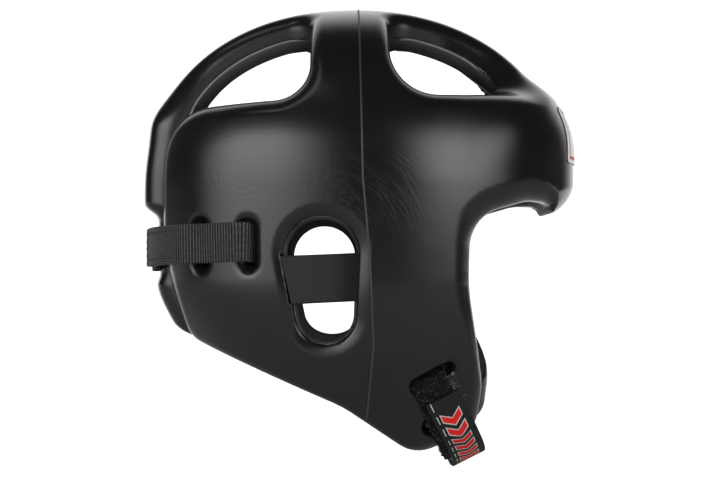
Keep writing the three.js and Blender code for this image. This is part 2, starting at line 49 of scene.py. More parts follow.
# Side outline of headband, panel and cheek: x, z and the radius of each corner
SIDE_OUTLINE = [
    (-113.5, -49, 32), (-5, -44, 5), (60, -42, 30), (150, -36, 1), (150, -87.7, 1),
    (112.5, -108.3, 1.5), (110.4, -104, 3), (107, -101.9, 5), (97, -101.2, 20), (62.5, -111, 38),
    (61.5, -150, 90), (69.8, -206, 40), (66.5, -232, 16), (32, -245.8, 20), (-9, -217.5, 60),
    (-98, -179, 16), (-113.5, -124, 60),
]
ARCH_WALL, BACK_WALL = 14, 20
SHARP_ROUND, BAND_ROUND, INNER_ROUND, CROSS_ROUND, CHEEK_BLUNT, CROWN_SHARPER = 3, 9, 2, 14, 0.5, 0.3
TIP_SWEEP, BROW_SWEEP, CHEEK_SWEEP = 10.5, 13.5, 10.5
BROW_PROUD, BROW_EASE = 5.6, 0.6
REAR_CORNER, FRONT_CORNER, MORE_CORNER = 0.2, 20, 8
LATERAL_X, LATERAL_HALF, ARCH_FOOT = -5, 22.5, -60
# Stretches along an axis over which a form comes in, from none of it to all
BROW_DOWN_Z, BROW_FORWARD_X, BROW_EASE_Z = (-24, -42), (60, 110), (-55, -90)
BACK_WALL_X, BAND_EDGE = (-60, -100), (6, -14)
TONGUE_WIDENS_Z, TONGUE_WIDENS_X = (-20, -60), (0, -40)
CORNER_X, MORE_CORNER_X = (-78, -45), (-10, 10)
PANEL_BLUNT_Z, PANEL_BLUNT_X, BROW_BLUNT_X, CHEEK_BLUNT_X = (-100, -70), (-108, -78), (70, 90), (20, 45)
CROWN_Z, SWEPT_X, SWEPT_LOW_Z, SWEPT_TOP_Z = (-40, -20), (30, 44), (-192, -150), (-55, -80)
BROW_SWEEP_Z, TIP_SWEEP_X = (-125, -105), (96, 116)
ARCH_HALF, TONGUE_HALF, TONGUE_PROUD, TONGUE_END, SLIT_OUT = 29, 34, 6, -179.5, 39.5
TONGUE_SWELL, TONGUE_SWELL_Z, TONGUE_SWELL_HIGH = 2.6, -52, 12
GROOVE_Z, GROOVE_HALF, GROOVE_DEPTH, GROOVE_SOFT, LEDGE_Z = -127.5, 19, 2.4, 8, -105.5
EAR_TOP, EAR_LOW, EAR_TAPER = (-20.8, -132, 20.8), (-18.3, -165.6, 16.8), 0.06
EAR_DISH, EAR_DISH_REACH, EAR_DISH_CURVE, EAR_DISH_X, EAR_ROUND = 2.6, 7.5, 1.5, 80, 1.6
EAR_SEAT_X, EAR_SEAT_LONG, EAR_SEAT_Y, EAR_SEAT_HALF, EAR_SLANT = -40.8, 8, 94.8, 13.7, 0.19
EAR_BAND_Z = -146
LEFT_CHEEK_FORWARD, LEFT_CHEEK_Y, LEFT_CHEEK_X, LEFT_CHEEK_Z = 12.5, (40, 60), (-40, 20), (-150, -200)
REAR_Z, REAR_SLOT, REAR_BRIDGE = -127.2, 94, 33.5
REAR_GROOVE, REAR_PANEL, REAR_PANEL_Y, REAR_HALF, LINE_POINTS = 119.4, 121.8, (20, 55), 105.9, 400
CHIN_WIDE, CHIN_SLOT, CHIN_LEAN, CHIN_BRIDGE = 20.5, np.array([39.2, 0, -203.3]), np.radians(27), 27
CHIN_DOWN = np.array([np.sin(CHIN_LEAN), 0, -np.cos(CHIN_LEAN)])
CHIN_ACROSS = np.array([np.cos(CHIN_LEAN), 0, np.sin(CHIN_LEAN)])
# Way of a chin strap: length down the cheek, then a place aside and down under the chin, where the bow begins,
# and how far down the bow goes
RIGHT_CHIN_WAY, LEFT_CHIN_WAY, CHIN_BOW, BOW_TIGHT = (34, 42, 47.7), (38, 44, 49.6), 51.4, 0.3
SLOT_HALF_WIDE, SLOT_FLAT, SLOT_REACH, REAR_SLOT_HALF = 2.6, 0.2, 40, 11.5
REAR_FLARE, CHIN_FLARE, EAR_SEAT_ROUND = 8, 6.2, 0.8
# Slots of a chin strap: length from the strap's end, shift across the strap, half length of the slot
CHIN_SLOTS = [(0, 2.6, 11.6), (CHIN_BRIDGE, -2.9, 10)]
COARSE, FINE = 2.25, 1.4


def ramp(start, stop, value):
    """Smooth step from 0 at start to 1 at stop."""
    t = np.clip((value - start) / (stop - start), 0, 1)
    return t * t * (3 - 2 * t)


def meet(a, b, radius):
    """Overlap of two distance fields, with a round of that radius on the edge where they cross."""
    corner = np.hypot(np.maximum(a + radius, 0), np.maximum(b + radius, 0))
    return np.minimum(-radius, np.maximum(a, b)) + corner


def join(a, b, radius):
    """Union of two distance fields, with a fillet of that radius in the corner where they cross."""
    corner = np.hypot(np.maximum(radius - a, 0), np.maximum(radius - b, 0))
    return np.maximum(radius, np.minimum(a, b)) - corner


def rounded_path(corners, closed):
    """Line through corner rows (a, b, radius): each corner is an arc that touches its two sides."""
    places = np.array([corner[:2] for corner in corners], float)
    pieces = []
    for i, (place, radius) in enumerate(zip(places, [corner[2] for corner in corners])):
        is_end = not closed and i in (0, len(places) - 1)
        if is_end or radius == 0:
            pieces.append(place[None])
            continue
        back, ahead = places[i - 1] - place, places[(i + 1) % len(places)] - place
        room = 0.49 * min(np.linalg.norm(back), np.linalg.norm(ahead))
        back, ahead = back / np.linalg.norm(back), ahead / np.linalg.norm(ahead)
        half_angle = np.arccos(np.clip(back @ ahead, -1, 1)) / 2
        cut = min(radius / np.tan(half_angle), room)
        centre = place + (back + ahead) / np.linalg.norm(back + ahead) * cut / np.cos(half_angle)
        start, stop = place + back * cut - centre, place + ahead * cut - centre
        turn = np.arctan2(start[0] * stop[1] - start[1] * stop[0], start @ stop)
        angle = np.linspace(0, turn, max(2, int(np.ceil(abs(turn) / np.radians(7))) + 1))[:, None]
        pieces.append(centre + start * np.cos(angle) + np.array([-start[1], start[0]]) * np.sin(angle))
    return np.concatenate(pieces)


def outline_distance(x, z, outline):
    """Distance to a closed line, the least over its straight pieces, negative where the line winds round."""
    nearest = np.full(np.broadcast(x, z).shape, np.inf)
    inside = np.zeros(nearest.shape, bool)
    for a, b in zip(outline, np.roll(outline, -1, 0)):
        edge = b - a
        share = np.clip(((x - a[0]) * edge[0] + (z - a[1]) * edge[1]) / max(edge @ edge, 1e-9), 0, 1)
        gap = (x - a[0] - share * edge[0]) ** 2 + (z - a[1] - share * edge[1]) ** 2
        nearest = np.minimum(nearest, gap)
        if a[1] != b[1]:
            crossed = (a[1] > z) != (b[1] > z)
            inside ^= crossed & (x < a[0] + (z - a[1]) / edge[1] * edge[0])
    return np.where(inside, -1, 1) * np.sqrt(nearest)


def at_level(z, values):
    """Values of the level sections at a height: cubics between levels with no overshoot."""
    step, slope = np.diff(LEVELS), np.diff(values) / np.diff(LEVELS)
    product, total = slope[1:] * slope[:-1], slope[1:] + slope[:-1]
    inner = np.where(product > 0, 2 * product / np.where(total == 0, 1, total), 0)
    tangent = np.concatenate([[0], inner, slope[-1:]])
    i = np.clip(np.searchsorted(-LEVELS, -z) - 1, 0, len(LEVELS) - 2)
    t = np.clip((z - LEVELS[i]) / step[i], 0, 1)
    ends = values[i] + (values[i + 1] - values[i]) * t * t * (3 - 2 * t)
    return ends + step[i] * t * (1 - t) * (tangent[i] * (1 - t) - tangent[i + 1] * t)


def skin_ratio(x, y, z, proud):
    """Size of a point against the outer skin: a superellipse at its level, with a dome over the top level."""
    power = BACK_POWER + (FRONT_POWER - BACK_POWER) * ramp(*POWER_CHANGE_X, x)
    reach = np.where(x > 0, at_level(z, FRONT_REACH), at_level(z, BACK_REACH) + proud)
    up = np.maximum(z - LEVELS[0], 0) / DOME_RISE
    total = np.abs(x / reach) ** power + np.abs(y / at_level(z, HALF_WIDTH)) ** power + up ** power
    return total ** (1 / power)


def skin_distance(x, y, z, proud):
    """Distance to the outer skin: the ratio less 1, over the ratio's slope."""
    h = 0.5
    ratio = skin_ratio(x, y, z, proud)
    across = skin_ratio(x + h, y, z, proud) - ratio
    aside = skin_ratio(x, y + h, z, proud) - ratio
    above = skin_ratio(x, y, z + h, proud) - ratio
    slope = np.sqrt(across ** 2 + aside ** 2 + above ** 2)
    return (ratio - 1) * h / np.maximum(slope, 1e-4)


def ear_distance(x, z):
    """Distance to the ear hole's outline: two circles and their common tangents."""
    axis = np.array([EAR_LOW[0] - EAR_TOP[0], EAR_LOW[1] - EAR_TOP[1]], float)
    length = np.linalg.norm(axis)
    axis /= length
    across = np.abs((x - EAR_TOP[0]) * axis[1] - (z - EAR_TOP[1]) * axis[0])
    down = (x - EAR_TOP[0]) * axis[0] + (z - EAR_TOP[1]) * axis[1]
    taper = (EAR_TOP[2] - EAR_LOW[2]) / length
    flank = np.sqrt(1 - taper ** 2)
    place = flank * down - taper * across
    top = np.hypot(across, down) - EAR_TOP[2]
    low = np.hypot(across, down - length) - EAR_LOW[2]
    middle = across * flank + down * taper - EAR_TOP[2]
    return np.where(place < 0, top, np.where(place > flank * length, low, middle))


SIDE_LINE = rounded_path(SIDE_OUTLINE, True)


def arch_half_width(x, z):
    """Half width of the arch from brow to nape, which widens towards the tongue."""
    return ARCH_HALF + (TONGUE_HALF - ARCH_HALF) * ramp(*TONGUE_WIDENS_Z, z) * ramp(*TONGUE_WIDENS_X, x)


def foam_body(x, y, z):
    """Distance field of the foam without its strap slots: the skin and the wall inside it, kept to the
    outline of band and arches with rounded edges, less the slits beside the tongue and the ear holes."""
    side = np.abs(y)
    on_tongue = np.where(x < 0, ramp(SLIT_OUT, TONGUE_HALF, side), 0)
    above_groove = ramp(LEDGE_Z - GROOVE_SOFT / 2, LEDGE_Z + GROOVE_SOFT / 2, z)
    base = skin_distance(x, y, z, TONGUE_PROUD * on_tongue * above_groove)
    band = outline_distance(x, z, SIDE_LINE)
    hole = ear_distance(x, z)

    brow = BROW_PROUD * ramp(*BROW_DOWN_Z, z) * ramp(*BROW_FORWARD_X, x)
    brow = brow * (1 - BROW_EASE * ramp(*BROW_EASE_Z, z))
    off_groove = np.abs(z - GROOVE_Z) - GROOVE_HALF
    groove = GROOVE_DEPTH * on_tongue * ramp(GROOVE_SOFT / 2, -GROOVE_SOFT / 2, off_groove)
    swell = TONGUE_SWELL * on_tongue * np.exp(-((z - TONGUE_SWELL_Z) / TONGUE_SWELL_HIGH) ** 2)
    dish = EAR_DISH * np.clip(1 - np.maximum(hole, 0) / EAR_DISH_REACH, 0, 1) ** EAR_DISH_CURVE
    outer = base - brow + groove - swell + np.where(np.abs(x) < EAR_DISH_X, dish, 0)

    band_wall = at_level(z, BAND_WALL) - (BAND_WALL[0] - BACK_WALL) * ramp(*BACK_WALL_X, x)
    wall = ARCH_WALL + (band_wall - ARCH_WALL) * ramp(*BAND_EDGE, band)
    lateral = np.maximum(np.abs(x - LATERAL_X) - LATERAL_HALF, ARCH_FOOT - z)
    fore_aft = np.maximum(side - arch_half_width(x, z), np.where(x < 0, TONGUE_END, ARCH_FOOT) - z)
    panel = np.where(x < 0, np.maximum(band, SLIT_OUT - side), band)
    corner = REAR_CORNER + (FRONT_CORNER - REAR_CORNER) * ramp(*CORNER_X, x)
    corner = corner + MORE_CORNER * ramp(*MORE_CORNER_X, x)
    region = join(join(lateral, fore_aft, CROSS_ROUND), panel, corner)

    blunt = np.maximum(ramp(*PANEL_BLUNT_Z, z) * ramp(*PANEL_BLUNT_X, x), on_tongue)
    blunt = np.maximum(blunt, np.maximum(ramp(*BROW_BLUNT_X, x), CHEEK_BLUNT * ramp(*CHEEK_BLUNT_X, x)))
    edge = SHARP_ROUND + (BAND_ROUND - SHARP_ROUND) * blunt * (1 - CROWN_SHARPER * ramp(*CROWN_Z, z))
    swept = ramp(*SWEPT_X, x) * ramp(*SWEPT_LOW_Z, z) * ramp(*SWEPT_TOP_Z, z)
    sweep = CHEEK_SWEEP + (BROW_SWEEP - CHEEK_SWEEP) * ramp(*BROW_SWEEP_Z, z)
    sweep = sweep + (TIP_SWEEP - BROW_SWEEP) * ramp(*TIP_SWEEP_X, x)
    edged = meet(outer, region, edge + (sweep - edge) * swept)
    hollowed = meet(edged, -(base + wall), INNER_ROUND)
    return meet(hollowed, EAR_TAPER * base - hole, EAR_ROUND)


def forward_of_cheek(x, y, z):
    """How far the free end of the left cheek stands forward of the right one at a place."""
    return LEFT_CHEEK_FORWARD * ramp(*LEFT_CHEEK_Y, y) * ramp(*LEFT_CHEEK_X, x) * ramp(*LEFT_CHEEK_Z, z)


def unit(vectors):
    """Vectors brought to length 1."""
    return vectors / np.maximum(np.linalg.norm(vectors, axis=-1, keepdims=True), 1e-9)


def lengths_along(line):
    """Length of a line up to each of its points."""
    return np.concatenate([[0], np.cumsum(np.linalg.norm(np.diff(line, axis=0), axis=1))])


def rows_at(table, at, where):
    """Rows of a table at lengths between those of its own rows, on straight lines from row to row."""
    return np.stack([np.interp(where, at, column) for column in table.T], -1)


def even_spacing(line, count):
    """A line's points spread again at equal steps of its length, and that length."""
    at = lengths_along(line)
    return rows_at(line, at, np.linspace(0, at[-1], count)), at[-1]


def smooth_line(points, count):
    """Cubic line through points, whose slope at a point is half the step between that point's neighbours."""
    points = np.asarray(points, float)
    padded = np.concatenate([points[:1], points, points[-1:]])
    place = np.linspace(0, len(points) - 1, 40 * len(points))
    i = np.minimum(place.astype(int), len(points) - 2)
    t = (place - i)[:, None]
    before, here, there, after = (padded[i + k] for k in range(4))
    start, stop = (there - before) / 2, (after - here) / 2
    line = here + (there - here) * t * t * (3 - 2 * t) + t * (1 - t) * (start * (1 - t) - stop * t)
    return even_spacing(line, count)[0]


def rear_line(side):
    """Line under the rear straps, in plan: a superellipse round the back that sits deeper in the groove."""
    start = np.arcsin(REAR_SLOT / REAR_HALF)
    y = REAR_HALF * np.sin(np.linspace(-start, start, LINE_POINTS))
    reach = REAR_GROOVE + (REAR_PANEL - REAR_GROOVE) * ramp(*REAR_PANEL_Y, np.abs(y))
    x = -reach * (1 - np.abs(y / REAR_HALF) ** BACK_POWER) ** (1 / BACK_POWER)
    return even_spacing(np.stack([x, side * y], 1), LINE_POINTS)[0]


def cheek_line(side, length, out, down):
    """Line down a cheek under the chin strap: the furthest foam under the strap's width, at steps of the
    way, and then one place under the chin."""
    steps = np.linspace(0, length, 9)
    offsets = np.linspace(-0.5, 0.5, 5) * CHIN_WIDE
    places = CHIN_SLOT + steps[:, None, None] * CHIN_DOWN + offsets[None, :, None] * CHIN_ACROSS
    reach = np.arange(0, HALF_WIDTH[0], 0.25)
    x, z = places[..., 0, None], places[..., 2, None]
    solid = foam_body(x - forward_of_cheek(x, side * reach, z), reach, z) < 0
    outs = np.max(np.where(solid, reach, 0), (1, 2))
    return np.concatenate([np.stack([side * outs, -steps], 1), [[side * out, -down]]])


def chin_line(side, tight=0):
    """Line under the chin straps in their leaning plane: down one cheek, in a bow under the chin and up the
    other. Tight says how much higher the bow starts at the right cheek than the outer strap's."""
    length, out, down = RIGHT_CHIN_WAY
    right, left = cheek_line(-1, length, out, down - tight), cheek_line(1, *LEFT_CHIN_WAY)
    own, other = (left, right) if side > 0 else (right, left)
    return smooth_line(np.concatenate([other, [[0, BOW_TIGHT * tight - CHIN_BOW]], own[::-1]]), LINE_POINTS)


def slot_frame(line, from_end, centre):
    """Places on a strap's line at lengths from its end, the directions along it and those out of the foam."""
    length = lengths_along(line)
    want = length[-1] - np.atleast_1d(from_end).astype(float)
    at, along = rows_at(line, length, want), unit(rows_at(np.gradient(line, axis=0), length, want))
    out = np.stack([-along[:, 1], along[:, 0]], 1)
    return at, along, out * np.sign((out * (at - centre)).sum(1, keepdims=True))


REAR_CENTRE, CHIN_CENTRE = np.array([-20.0, 0]), np.array([0.0, 40])
REAR_LINE, CHIN_LINE = rear_line(1), chin_line(-1) * (-1, 1)


def slot_distance(u, out, w, half):
    """Distance to a strap slot: a rectangle with round corners in the skin, carried through the wall."""
    corner = SLOT_HALF_WIDE - SLOT_FLAT
    du, dw = np.abs(u) - SLOT_HALF_WIDE + corner, np.abs(w) - half + corner
    flat = np.hypot(np.maximum(du, 0), np.maximum(dw, 0)) + np.minimum(np.maximum(du, dw), 0) - corner
    return np.maximum(flat, np.abs(out) - SLOT_REACH)


def foam_field(x, y, z):
    """Distance field of the foam with its strap slots, whose mouths flare, and the seats of the ear bands."""
    field = foam_body(x, y, z)
    side = np.abs(y)
    for from_end in (0, REAR_BRIDGE):
        at, along, out = (part[0] for part in slot_frame(REAR_LINE, from_end, REAR_CENTRE))
        u = (x - at[0]) * along[0] + (side - at[1]) * along[1]
        depth = (x - at[0]) * out[0] + (side - at[1]) * out[1]
        field = meet(field, -slot_distance(u, depth, z - REAR_Z, REAR_SLOT_HALF), REAR_FLARE)
    for from_end, shift, half in CHIN_SLOTS:
        at, along, out = (part[0] for part in slot_frame(CHIN_LINE, from_end, CHIN_CENTRE))
        a = side - at[0]
        b = -((x - CHIN_SLOT[0]) * CHIN_DOWN[0] + (z - CHIN_SLOT[2]) * CHIN_DOWN[2]) - at[1]
        w = (x - CHIN_SLOT[0]) * CHIN_ACROSS[0] + (z - CHIN_SLOT[2]) * CHIN_ACROSS[2]
        slot = slot_distance(a * along[0] + b * along[1], a * out[0] + b * out[1], w - shift, half)
        field = meet(field, -slot, CHIN_FLARE)
    seat_x = EAR_SEAT_X - EAR_SLANT * (z - EAR_BAND_Z)
    seat = np.maximum(np.maximum(seat_x - x, x - seat_x - EAR_SEAT_LONG), EAR_SEAT_Y - side)
    return meet(field, -np.maximum(seat, np.abs(z - EAR_BAND_Z) - EAR_SEAT_HALF), EAR_SEAT_ROUND)


def slope_of(field, points):
    """Slope of a field at points, from the change over a small step each way."""
    h = 0.15
    steps = h * np.eye(3)
    return np.stack([field(*(points + s).T) - field(*(points - s).T) for s in steps], 1) / (2 * h)


def onto(field, points, rounds):
    """Points near a field's surface moved onto it along its slope."""
    for _ in range(rounds):
        slope = slope_of(field, points)
        travel = field(*points.T) / np.maximum((slope ** 2).sum(1), 0.2)
        points = points - np.clip(travel, -FINE, FINE)[:, None] * slope
    return points


def grid_lines(low, high, *dense):
    """Places of grid lines from low to high: fine steps in the dense stretches, coarse ones elsewhere."""
    ends = [low, *np.ravel(dense), high]
    steps = [COARSE, FINE] * len(dense) + [COARSE]
    parts = [np.arange(a, b, step) for a, b, step in zip(ends[:-1], ends[1:], steps)]
    return np.concatenate([*parts, [high]])


def field_surface(field, lines):
    """Surface of a field: a vertex at the mean of the crossings in each grid cell that it passes through, and
    a quad round each grid edge that it crosses. The vertices are then evened out and set onto the surface."""
    counts = np.array([len(line) for line in lines])
    x, y, z = lines
    value = field(x[:, None, None], y[None, :, None], z[None, None, :])
    inside = value < 0
    corners = np.stack(np.meshgrid([0, 1], [0, 1], [0, 1], indexing="ij"), -1).reshape(-1, 3)
    window = [tuple(slice(c, n - 1 + c) for c, n in zip(corner, counts)) for corner in corners]
    filled = sum(inside[part].astype(np.int8) for part in window)
    live = (filled > 0) & (filled < 8)
    cells = np.argwhere(live)
    number = np.full(live.shape, -1)
    number[live] = np.arange(len(cells))
    total, hits = np.zeros((len(cells), 3)), np.zeros((len(cells), 1))
    quads = []
    for axis in range(3):
        step = np.eye(3, dtype=int)[axis]
        for corner in corners[corners[:, axis] == 0]:
            near, far = value[tuple((cells + corner).T)], value[tuple((cells + corner + step).T)]
            crossed = ((near < 0) != (far < 0))[:, None]
            share = np.where(crossed[:, 0], near / np.where(near == far, 1, near - far), 0)
            total += crossed * (corner + share[:, None] * step)
            hits += crossed
        u, v = np.roll(step, 1), np.roll(step, 2)
        here = inside[tuple(slice(0, n - s) for n, s in zip(counts, step))]
        there = inside[tuple(slice(s, n) for n, s in zip(counts, step))]
        edges = np.argwhere(here != there)
        ring = np.stack([number[tuple((edges - shift).T)] for shift in (0 * u, u, u + v, v)], 1)
        outward = here[tuple(edges.T)]
        quads.append(np.where(outward[:, None], ring, ring[:, ::-1]))
    quads = np.concatenate(quads)
    place = cells + total / hits
    points = np.stack([np.interp(place[:, i], np.arange(counts[i]), lines[i]) for i in range(3)], 1)
    points = onto(field, points, 3)
    for _ in range(3):
        summed, met = np.zeros_like(points), np.zeros((len(points), 1))
        for k in range(4):
            for neighbour in (quads[:, (k + 1) % 4], quads[:, (k + 3) % 4]):
                np.add.at(summed, quads[:, k], points[neighbour])
                np.add.at(met, quads[:, k], 1)
        points = onto(field, points + 0.5 * (summed / met - points), 1)
    points = onto(field, points, 1)
    return points, quads, unit(slope_of(field, points))


def put_mesh(name, points, faces, material, normals=None, weave=None, **shares):
    """A smooth-shaded object at the origin from points in millimetres and their faces, with the points'
    normals, their places in a weave, along and across in millimetres, and named shares from 0 to 1."""
    mesh = bpy.data.meshes.new(name)
    mesh.from_pydata((points * MM).tolist(), [], faces.tolist())
    mesh.polygons.foreach_set("use_smooth", np.ones(len(mesh.polygons), bool))
    mesh.materials.append(material)
    if weave is not None:
        corners = np.zeros(len(mesh.loops), int)
        mesh.loops.foreach_get("vertex_index", corners)
        mesh.uv_layers.new(name="weave").data.foreach_set("uv", weave[corners].ravel())
    for label, share in shares.items():
        mesh.attributes.new(label, "FLOAT", "POINT").data.foreach_set("value", share)
    mesh.validate()
    mesh.update()
    if normals is not None:
        mesh.normals_split_custom_set_from_vertices(normals.tolist())
    made = bpy.data.objects.new(name, mesh)
    bpy.context.scene.collection.objects.link(made)
    return made


def node(tree, kind, inputs=None, **settings):
    """A node with its settings, and its inputs by name or number: a socket is linked, a value is set."""
    made = tree.nodes.new(kind)
    for name, value in settings.items():
        setattr(made, name, value)
    for key, value in (inputs or {}).items():
        if isinstance(value, bpy.types.NodeSocket):
            tree.links.new(value, made.inputs[key])
        else:
            made.inputs[key].default_value = value
    return made


def reckon(tree, operation, *values):
    """Output of a Math node on values, each a socket or a number."""
    return node(tree, "ShaderNodeMath", dict(enumerate(values)), operation=operation).outputs[0]


def tint(tree, factor, first, second):
    """Colour between two colours by a factor, each a socket or a plain value."""
    mixed = node(tree, "ShaderNodeMix", {0: factor, 6: first, 7: second}, data_type="RGBA")
    return mixed.outputs[2]


def new_material(name, **values):
    """A material with its Principled BSDF, whose plain values are given by name with _ for a space."""
    material = bpy.data.materials.new(name)
    material.use_nodes = True
    shader = material.node_tree.nodes["Principled BSDF"]
    for key, value in values.items():
        shader.inputs[key.replace("_", " ")].default_value = value
    return material, material.node_tree, shader


def new_group(name, inputs, outputs):
    """A shader node group with named sockets: inputs as rows (name, kind, value), outputs (name, kind)."""
    group = bpy.data.node_groups.new(name, "ShaderNodeTree")
    for label, kind, value in inputs:
        socket = group.interface.new_socket(label, in_out="INPUT", socket_type=f"NodeSocket{kind}")
        if value is not None:
            socket.default_value = value
    for label, kind in outputs:
        group.interface.new_socket(label, in_out="OUTPUT", socket_type=f"NodeSocket{kind}")
    return group, group.nodes.new("NodeGroupInput").outputs, group.nodes.new("NodeGroupOutput")


# Handling marks, used by foam and patch: soft blotches, fine grain and a few specks of lint
handling, given, put_out = new_group(
    "Handling marks",
    [("Vector", "Vector", None), ("Blotch Scale", "Float", 30.0), ("Grain Scale", "Float", 1500.0)],
    [("Blotches", "Float"), ("Grain", "Float"), ("Specks", "Float")])
blotch = node(handling, "ShaderNodeTexNoise", {
    "Vector": given["Vector"], "Scale": given["Blotch Scale"], "Detail": 4.0, "Roughness": 0.6})
grain = node(handling, "ShaderNodeTexNoise", {
    "Vector": given["Vector"], "Scale": given["Grain Scale"], "Detail": 2.0})
lint = node(handling, "ShaderNodeTexVoronoi", {"Vector": given["Vector"], "Scale": 260.0})
handling.links.new(blotch.outputs[0], put_out.inputs["Blotches"])
handling.links.new(grain.outputs[0], put_out.inputs["Grain"])
handling.links.new(reckon(handling, "LESS_THAN", lint.outputs["Distance"], 0.045), put_out.inputs["Specks"])

# Foam skin: deep black, duller inside, with flow marks that bend round the ear hole where the foam was poured
# in, and faint uneven rings where it last spread behind them. Depths are in millimetres
FLOW_X, FLOW_Z, FLOW_SPREAD, FLOW_FINE, FLOW_LONG, FLOW_DEEP = 4, -98, 28, 0.26, 2.4, -0.1
RING_X, RING_Z, RING_SPREAD, RING_PITCH, RING_FLAT = -60, -90, 20, 2.8, 0.55
RING_WANDER, RING_DEEP, SWELL_DEEP, GRAIN_DEEP = 42.0, 0.021, 0.5, 0.03
SKIN_ROUGH, BLOTCH_DULL, FLOW_DULL, INSIDE_DULL, LINT_SHOWS = 0.17, 0.1, 0.08, 0.4, 0.12
DEEP_BLACK, WORN_BLACK = (0.004, 0.004, 0.0043, 1), (0.0075, 0.0075, 0.008, 1)
LINT_GREY = (0.16, 0.16, 0.15, 1)
foam_skin, tree, shader = new_material("foam skin", IOR=1.5)
coords = node(tree, "ShaderNodeTexCoord").outputs["Object"]
marks = node(tree, "ShaderNodeGroup", {}, node_tree=handling)
tree.links.new(coords, marks.inputs["Vector"])
x, y, z = node(tree, "ShaderNodeSeparateXYZ", {0: coords}).outputs


def fade_from(centre_x, centre_z, spread, flat=1):
    """Steps from a centre along X and Z, the distance, and a bell curve of it, in millimetres. Flat shortens
    the steps along X, so that places at one distance lie on a flat ellipse."""
    across = reckon(tree, "MULTIPLY_ADD", x, flat / MM, -flat * centre_x)
    up = reckon(tree, "MULTIPLY_ADD", z, 1 / MM, -centre_z)
    squared = reckon(tree, "MULTIPLY_ADD", across, across, reckon(tree, "MULTIPLY", up, up))
    away = reckon(tree, "SQRT", squared)
    share = reckon(tree, "DIVIDE", squared, -spread ** 2)
    return across, up, away, reckon(tree, "EXPONENT", share)


near_flow = fade_from(FLOW_X, FLOW_Z, FLOW_SPREAD)[3]
across, up, away, _ = fade_from(*EAR_TOP)
bend = reckon(tree, "ARCTAN2", up, across)
arcs = node(tree, "ShaderNodeCombineXYZ", {
    0: reckon(tree, "MULTIPLY", away, FLOW_FINE),
    1: reckon(tree, "MULTIPLY", bend, FLOW_LONG),
    2: reckon(tree, "SIGN", y)})
flow = node(tree, "ShaderNodeTexNoise", {
    "Vector": arcs.outputs[0], "Scale": 1.0, "Detail": 3.0, "Roughness": 0.6, "Distortion": 1.7})
streak = node(tree, "ShaderNodeMapRange", {"Value": flow.outputs[0], "From Min": 0.44, "From Max": 0.68})
flow_mark = reckon(tree, "MULTIPLY", streak.outputs[0], near_flow)
_, _, away, near_ring = fade_from(RING_X, RING_Z, RING_SPREAD, RING_FLAT)
wander = node(tree, "ShaderNodeTexNoise", {"Vector": coords, "Scale": 38.0, "Detail": 2.5})
even_turn = reckon(tree, "MULTIPLY", away, 2 * np.pi / RING_PITCH)
ring_turn = reckon(tree, "MULTIPLY_ADD", wander.outputs[0], RING_WANDER, even_turn)
patchy = node(tree, "ShaderNodeMapRange", {
    "Value": marks.outputs["Blotches"], "From Min": 0.28, "From Max": 0.55})
near_ring = reckon(tree, "MULTIPLY", near_ring, patchy.outputs[0])
ring_mark = reckon(tree, "MULTIPLY", reckon(tree, "SINE", ring_turn), near_ring)
swell = node(tree, "ShaderNodeTexNoise", {"Vector": coords, "Scale": 26.0, "Detail": 1.0})
height = reckon(tree, "MULTIPLY", swell.outputs[0], SWELL_DEEP)
height = reckon(tree, "MULTIPLY_ADD", flow_mark, FLOW_DEEP, height)
height = reckon(tree, "MULTIPLY_ADD", ring_mark, RING_DEEP, height)
height = reckon(tree, "MULTIPLY_ADD", marks.outputs["Grain"], GRAIN_DEEP, height)
bump = node(tree, "ShaderNodeBump", {"Height": height, "Distance": 1.0 * MM, "Strength": 0.7})
tree.links.new(bump.outputs[0], shader.inputs["Normal"])
worn = reckon(tree, "MULTIPLY_ADD", marks.outputs["Blotches"], BLOTCH_DULL, SKIN_ROUGH)
worn = reckon(tree, "MULTIPLY_ADD", flow_mark, FLOW_DULL, worn)
inside = node(tree, "ShaderNodeAttribute", attribute_name="inner").outputs["Fac"]
tree.links.new(reckon(tree, "MULTIPLY_ADD", inside, INSIDE_DULL, worn), shader.inputs["Roughness"])
black = tint(tree, marks.outputs["Blotches"], DEEP_BLACK, WORN_BLACK)
dusty = tint(tree, reckon(tree, "MULTIPLY", marks.outputs["Specks"], LINT_SHOWS), black, LINT_GREY)
tree.links.new(dusty, shader.inputs["Base Color"])

# The grid is fine round the ear holes. The inside of the shell lies deep under the skin or faces the head
INNER_DEPTH, INNER_BACK_X, INNER_FACING = (-4, -9), (55, 40), (-0.3, -0.75)
shell_lines = (grid_lines(-140, 142, (-52, 12)), grid_lines(-118, 118, (-107, -86), (86, 107)),
               grid_lines(-262, 26, (-192, -102)))
shell_points, shell_faces, shell_normals = field_surface(foam_field, shell_lines)
skin_way = slope_of(lambda x, y, z: skin_distance(x, y, z, 0), shell_points)
deep = ramp(*INNER_DEPTH, skin_distance(*shell_points.T, 0)) * ramp(*INNER_BACK_X, shell_points[:, 0])
shell_inner = np.maximum(deep, ramp(*INNER_FACING, (shell_normals * skin_way).sum(1)))
shell_points[:, 0] += forward_of_cheek(*shell_points.T)
foam_shell = put_mesh("foam_shell_skin", shell_points, shell_faces, foam_skin, shell_normals,
                      inner=shell_inner)
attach(foam_shell, "root")
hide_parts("foam_shell")

# Parting line
# The thin raised seam that the two halves of the mould leave in the foam, from one cheek over the crown to
# the other. It is part of the foam, and was trimmed after moulding.
SEAM_HALF_WIDE, SEAM_PROUD, SEAM_SUNK = 0.6, 0.5, 0.5
SEAM_LOW_Z, SEAM_COUNT, BEAD_AROUND = -224, 900, 8
